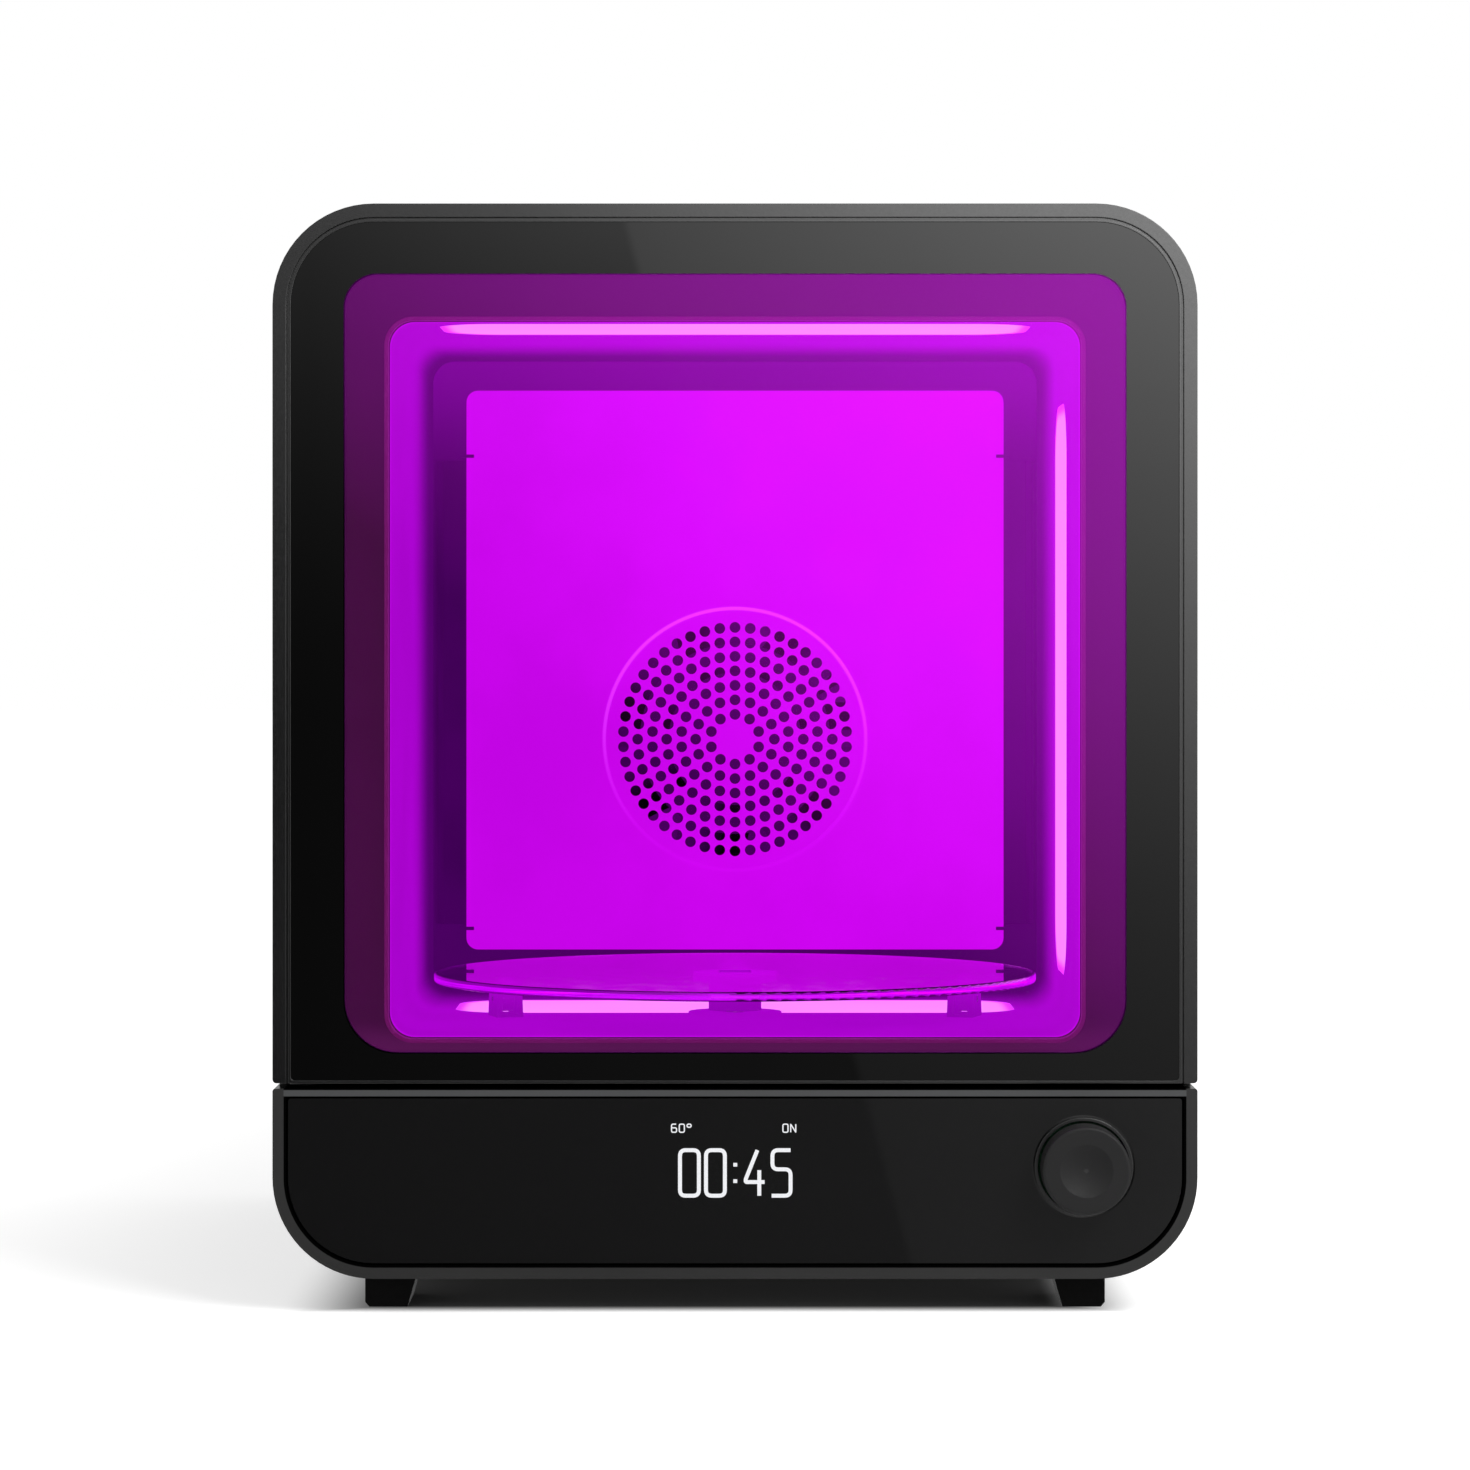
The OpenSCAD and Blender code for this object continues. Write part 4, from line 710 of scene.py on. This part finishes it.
def rounded_path(corners, radius, closed):
    """Points along straight runs. Each corner is a parabola that starts and ends at the radius
    over the tangent of half its angle from it, or at half of a shorter run. A point that falls
    on the one before it is left out."""
    corners = [np.array(corner, float) for corner in corners]
    count = len(corners)
    t = np.linspace(0, 1, ARC_STEPS + 1)[:, None]
    pieces = []
    for i, corner in enumerate(corners):
        if not closed and i in (0, count - 1):
            pieces.append(corner[None])
            continue
        before = corners[i - 1] - corner
        after = corners[(i + 1) % count] - corner
        a, b = np.linalg.norm(before), np.linalg.norm(after)
        angle = math.acos(np.clip(before @ after / (a * b), -1, 1))
        reach = min(radius / math.tan(angle / 2), a / 2, b / 2)
        start = corner + before / a * reach
        end = corner + after / b * reach
        pieces.append((1 - t) ** 2 * start + 2 * t * (1 - t) * corner + t ** 2 * end)
    points = np.concatenate(pieces)
    step = np.linalg.norm(points - np.roll(points, 1, 0), axis=1)
    return points[step > TINY]


def stroke(path, closed, width):
    """Flat bar carried along a path in the plane of the panel: its section's four corners stand
    half a width to both sides of the path, in front and behind."""
    ahead = np.roll(path, -1, 0) - path
    behind = path - np.roll(path, 1, 0)
    if not closed:
        ahead[-1] = behind[-1]
        behind[0] = ahead[0]
    ahead /= np.linalg.norm(ahead, axis=1, keepdims=True)
    behind /= np.linalg.norm(behind, axis=1, keepdims=True)
    along = ahead + behind
    along /= np.linalg.norm(along, axis=1, keepdims=True)
    side = np.stack([-along[:, 1], along[:, 0]], 1) / np.sum(along * ahead, 1)[:, None]
    left = path + side * width / 2
    right = path - side * width / 2
    n = len(path)
    back = MARK_FRONT + MARK_DEPTH
    rows = [np.stack([flat[:, 0], np.full(n, y), flat[:, 1]], 1)
            for flat, y in ((left, MARK_FRONT), (right, MARK_FRONT), (right, back), (left, back))]
    points = np.stack(rows, 1).reshape(-1, 3)
    i = np.arange(n if closed else n - 1)[:, None]
    near, far = 4 * i, 4 * ((i + 1) % n)
    k = np.arange(4)
    m = (k + 1) % 4
    faces = np.stack([near + k, near + m, far + m, far + k], 2).reshape(-1, 4)
    if not closed:
        faces = np.concatenate([faces, [[3, 2, 1, 0]], 4 * (n - 1) + k[None]])
    return points, faces


def marks(name, text, left, foot, wide, high, gap, width, radius, material):
    """One mesh of lit strokes for a short line of generic marks on the display."""
    points, faces = [], []
    for letter in text:
        cell = wide * COLON_WIDTH if letter == ":" else wide
        bend = radius * SHARP_CORNER if letter == "N" else radius
        for corners, closed in GLYPHS[letter]:
            scaled = [(left + across * cell, foot + up * high) for across, up in corners]
            new_points, new_faces = stroke(rounded_path(scaled, bend, closed), closed, width)
            faces += (new_faces + len(points)).tolist()
            points += new_points.tolist()
        left += cell + gap
    mesh = bpy.data.meshes.new(name)
    mesh.from_pydata(points, [], faces)
    mesh.materials.append(material)
    piece = bpy.data.objects.new(name, mesh)
    bpy.context.scene.collection.objects.link(piece)
    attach(piece, "cabinet")


def lit_marks():
    """Cool white of the display's marks, uneven as small light cells are."""
    made, tree, sockets = finish("lit_marks", Emission_Strength=1.0, Roughness=0.4,
                                 Base_Color=(0.1, 0.1, 0.1, 1))
    cells = add(tree, "ShaderNodeTexVoronoi", {"Vector": object_point(tree), "Scale": 3200})
    tone = ramp(tree, cells.outputs["Distance"], 0.1, 0.7)
    feed(tree, sockets, Emission_Color=blend(tree, tone, (0.86, 0.87, 0.9), (0.74, 0.75, 0.78)))
    return made


LIT = lit_marks()
for name, (text, *sizes) in MARK_LINES.items():
    marks(name, text, *[size * MM for size in sizes], LIT)


def build_camera():
    """Level camera at the photograph's place, with its focal length and horizon."""
    lens = bpy.data.cameras.new("camera")
    lens.sensor_width = SENSOR_MM
    lens.lens = SENSOR_MM * FOCAL_PX / PHOTO_PX
    lens.shift_y = (HORIZON_PX - PHOTO_PX / 2) / PHOTO_PX
    lens.clip_start = 0.05
    holder = bpy.data.objects.new("camera", lens)
    holder.location = (0, DOOR_LOW.y - CAMERA_BACK, CAMERA_UP)
    holder.rotation_euler = (math.pi / 2, 0, 0)
    bpy.context.scene.collection.objects.link(holder)
    bpy.context.scene.camera = holder


def build_world():
    """White surroundings: full strength for camera, glossy and transmission rays, less as light."""
    world = bpy.data.worlds.new("studio")
    world.use_nodes = True
    tree = world.node_tree
    path = add(tree, "ShaderNodeLightPath").outputs
    seen = chain(tree, "MAXIMUM", path["Is Camera Ray"], path["Is Glossy Ray"],
                 path["Is Transmission Ray"])
    backdrop = tree.nodes["Background"].inputs
    tree.links.new(ramp(tree, seen, 0, 1, 0.55, 1.0, smooth=False), backdrop["Strength"])
    backdrop["Color"].default_value = (1, 1, 1, 1)
    bpy.context.scene.world = world


def build_key():
    """Soft square lamp at the upper right of the camera, aimed at the middle of the unit."""
    stands, aim = Vector((0.9, -1.2, 1.3)), Vector((0, 0, 0.15))
    light = bpy.data.lights.new("key", "AREA")
    light.size = 0.8
    light.energy = 16
    holder = bpy.data.objects.new("key", light)
    holder.location = stands
    holder.rotation_euler = (aim - stands).to_track_quat("-Z", "Y").to_euler()
    bpy.context.scene.collection.objects.link(holder)


def plane(name, corners, material):
    """Flat stage piece from its four corners."""
    mesh = bpy.data.meshes.new(name)
    mesh.from_pydata(corners, [], [(0, 1, 2, 3)])
    mesh.materials.append(material)
    piece = bpy.data.objects.new(name, mesh)
    bpy.context.scene.collection.objects.link(piece)
    return piece


def build_floor():
    """White floor that melts into the white surroundings, with a painted shadow: lit for the camera
    beside the unit and a little less at its left, and darker and unlit under it."""
    made, tree, sockets = finish("floor_white_painted_shadow", Roughness=1.0, Specular_IOR_Level=0.0,
                                 Emission_Color=(1, 1, 1, 1))
    camera = add(tree, "ShaderNodeLightPath").outputs["Is Camera Ray"]
    x, y, z = object_axes(tree)
    half_w, half_d = BODY_HIGH.x, (BODY_HIGH.y - DOOR_LOW.y) / 2
    middle_y = (BODY_HIGH.y + DOOR_LOW.y) / 2
    depth = calc(tree, "ABSOLUTE", calc(tree, "SUBTRACT", y, middle_y))
    # Painted shadow under the unit: the floor's light for the camera reaches 36 mm in from the
    # unit's left side, 14 to 44 mm from its right, and 3 to 20 mm from its front and back.
    from_left = ramp(tree, x, 36 * MM - half_w, -half_w)
    from_right = ramp(tree, x, half_w - 44 * MM, half_w - 14 * MM)
    from_ends = ramp(tree, depth, half_d - 20 * MM, half_d - 3 * MM)
    lit = chain(tree, "MAXIMUM", from_left, from_right, from_ends)
    # Painted soft shadow beside the unit: the floor's light is less close to its left side, and
    # rises again further out.
    beside = calc(tree, "ADD", ramp(tree, x, -170 * MM, 60 * MM, 0.52, 0.65),
                  ramp(tree, x, -160 * MM, -300 * MM, 0, 0.1))
    level = calc(tree, "MULTIPLY", lit, beside)
    # Under the unit the floor's colour is darker and it gives no light: painted shadow.
    feed(tree, sockets,
         Base_Color=blend(tree, lit, (0.35, 0.35, 0.35), (0.9, 0.9, 0.9)),
         Emission_Strength=calc(tree, "MULTIPLY", camera, level))
    far = 12
    floor = plane("floor", [(-far, -far, 0), (far, -far, 0), (far, far, 0), (-far, far, 0)], made)
    floor.visible_glossy = False


def card_light(tree, rise, power, gain, least, sides):
    """Light of one part of the card: its rise with height, raised to a power, times a gain and
    over a least value, all times a slope from side to side."""
    x, y, z = object_axes(tree)
    height = calc(tree, "POWER", ramp(tree, z, *rise, smooth=False), power)
    return calc(tree, "MULTIPLY", calc(tree, "MULTIPLY_ADD", height, gain, least),
                ramp(tree, x, *sides, smooth=False))


def build_flag():
    """Dark card behind the camera with a soft light on its right part, past a leaning edge. It is
    seen in gloss only."""
    made = bpy.data.materials.new("flag")
    made.use_nodes = True
    tree = made.node_tree
    tree.nodes.clear()
    edge_x, edge_z, lean, soft = -0.0701, 0.4651, 0.2748, 0.004
    x, y, z = object_axes(tree)
    upright = calc(tree, "ADD", x, calc(tree, "MULTIPLY", calc(tree, "SUBTRACT", z, edge_z), lean))
    right = ramp(tree, upright, edge_x - soft, edge_x + soft)
    dim = card_light(tree, rise=(0.1, 0.46), power=2.6, gain=0.9, least=0.09,
                     sides=(-0.27, 0.1, 0.42, 1.38))
    lit = card_light(tree, rise=(-0.17, 0.47, 0, 1.03), power=2.3, gain=0.95, least=0.106,
                     sides=(-0.1, 0.3, 1.04, 2.88))
    level = add(tree, "ShaderNodeMix", {0: right, 2: dim, 3: lit}, data_type="FLOAT").outputs[0]
    light = add(tree, "ShaderNodeEmission", {"Strength": level}).outputs[0]
    add(tree, "ShaderNodeOutputMaterial", {"Surface": light})
    made.cycles.emission_sampling = "NONE"
    left, right, low, high, at = -1.6, 1.6, -1.2, 2, -1.9
    card = plane("flag", [(left, at, low), (right, at, low), (right, at, high), (left, at, high)],
                 made)
    card.visible_camera = False
    card.visible_diffuse = False
    card.visible_transmission = False
    card.visible_shadow = False


build_camera()
build_world()
build_floor()
build_flag()
build_key()
bpy.context.scene.view_settings.view_transform = "Standard"
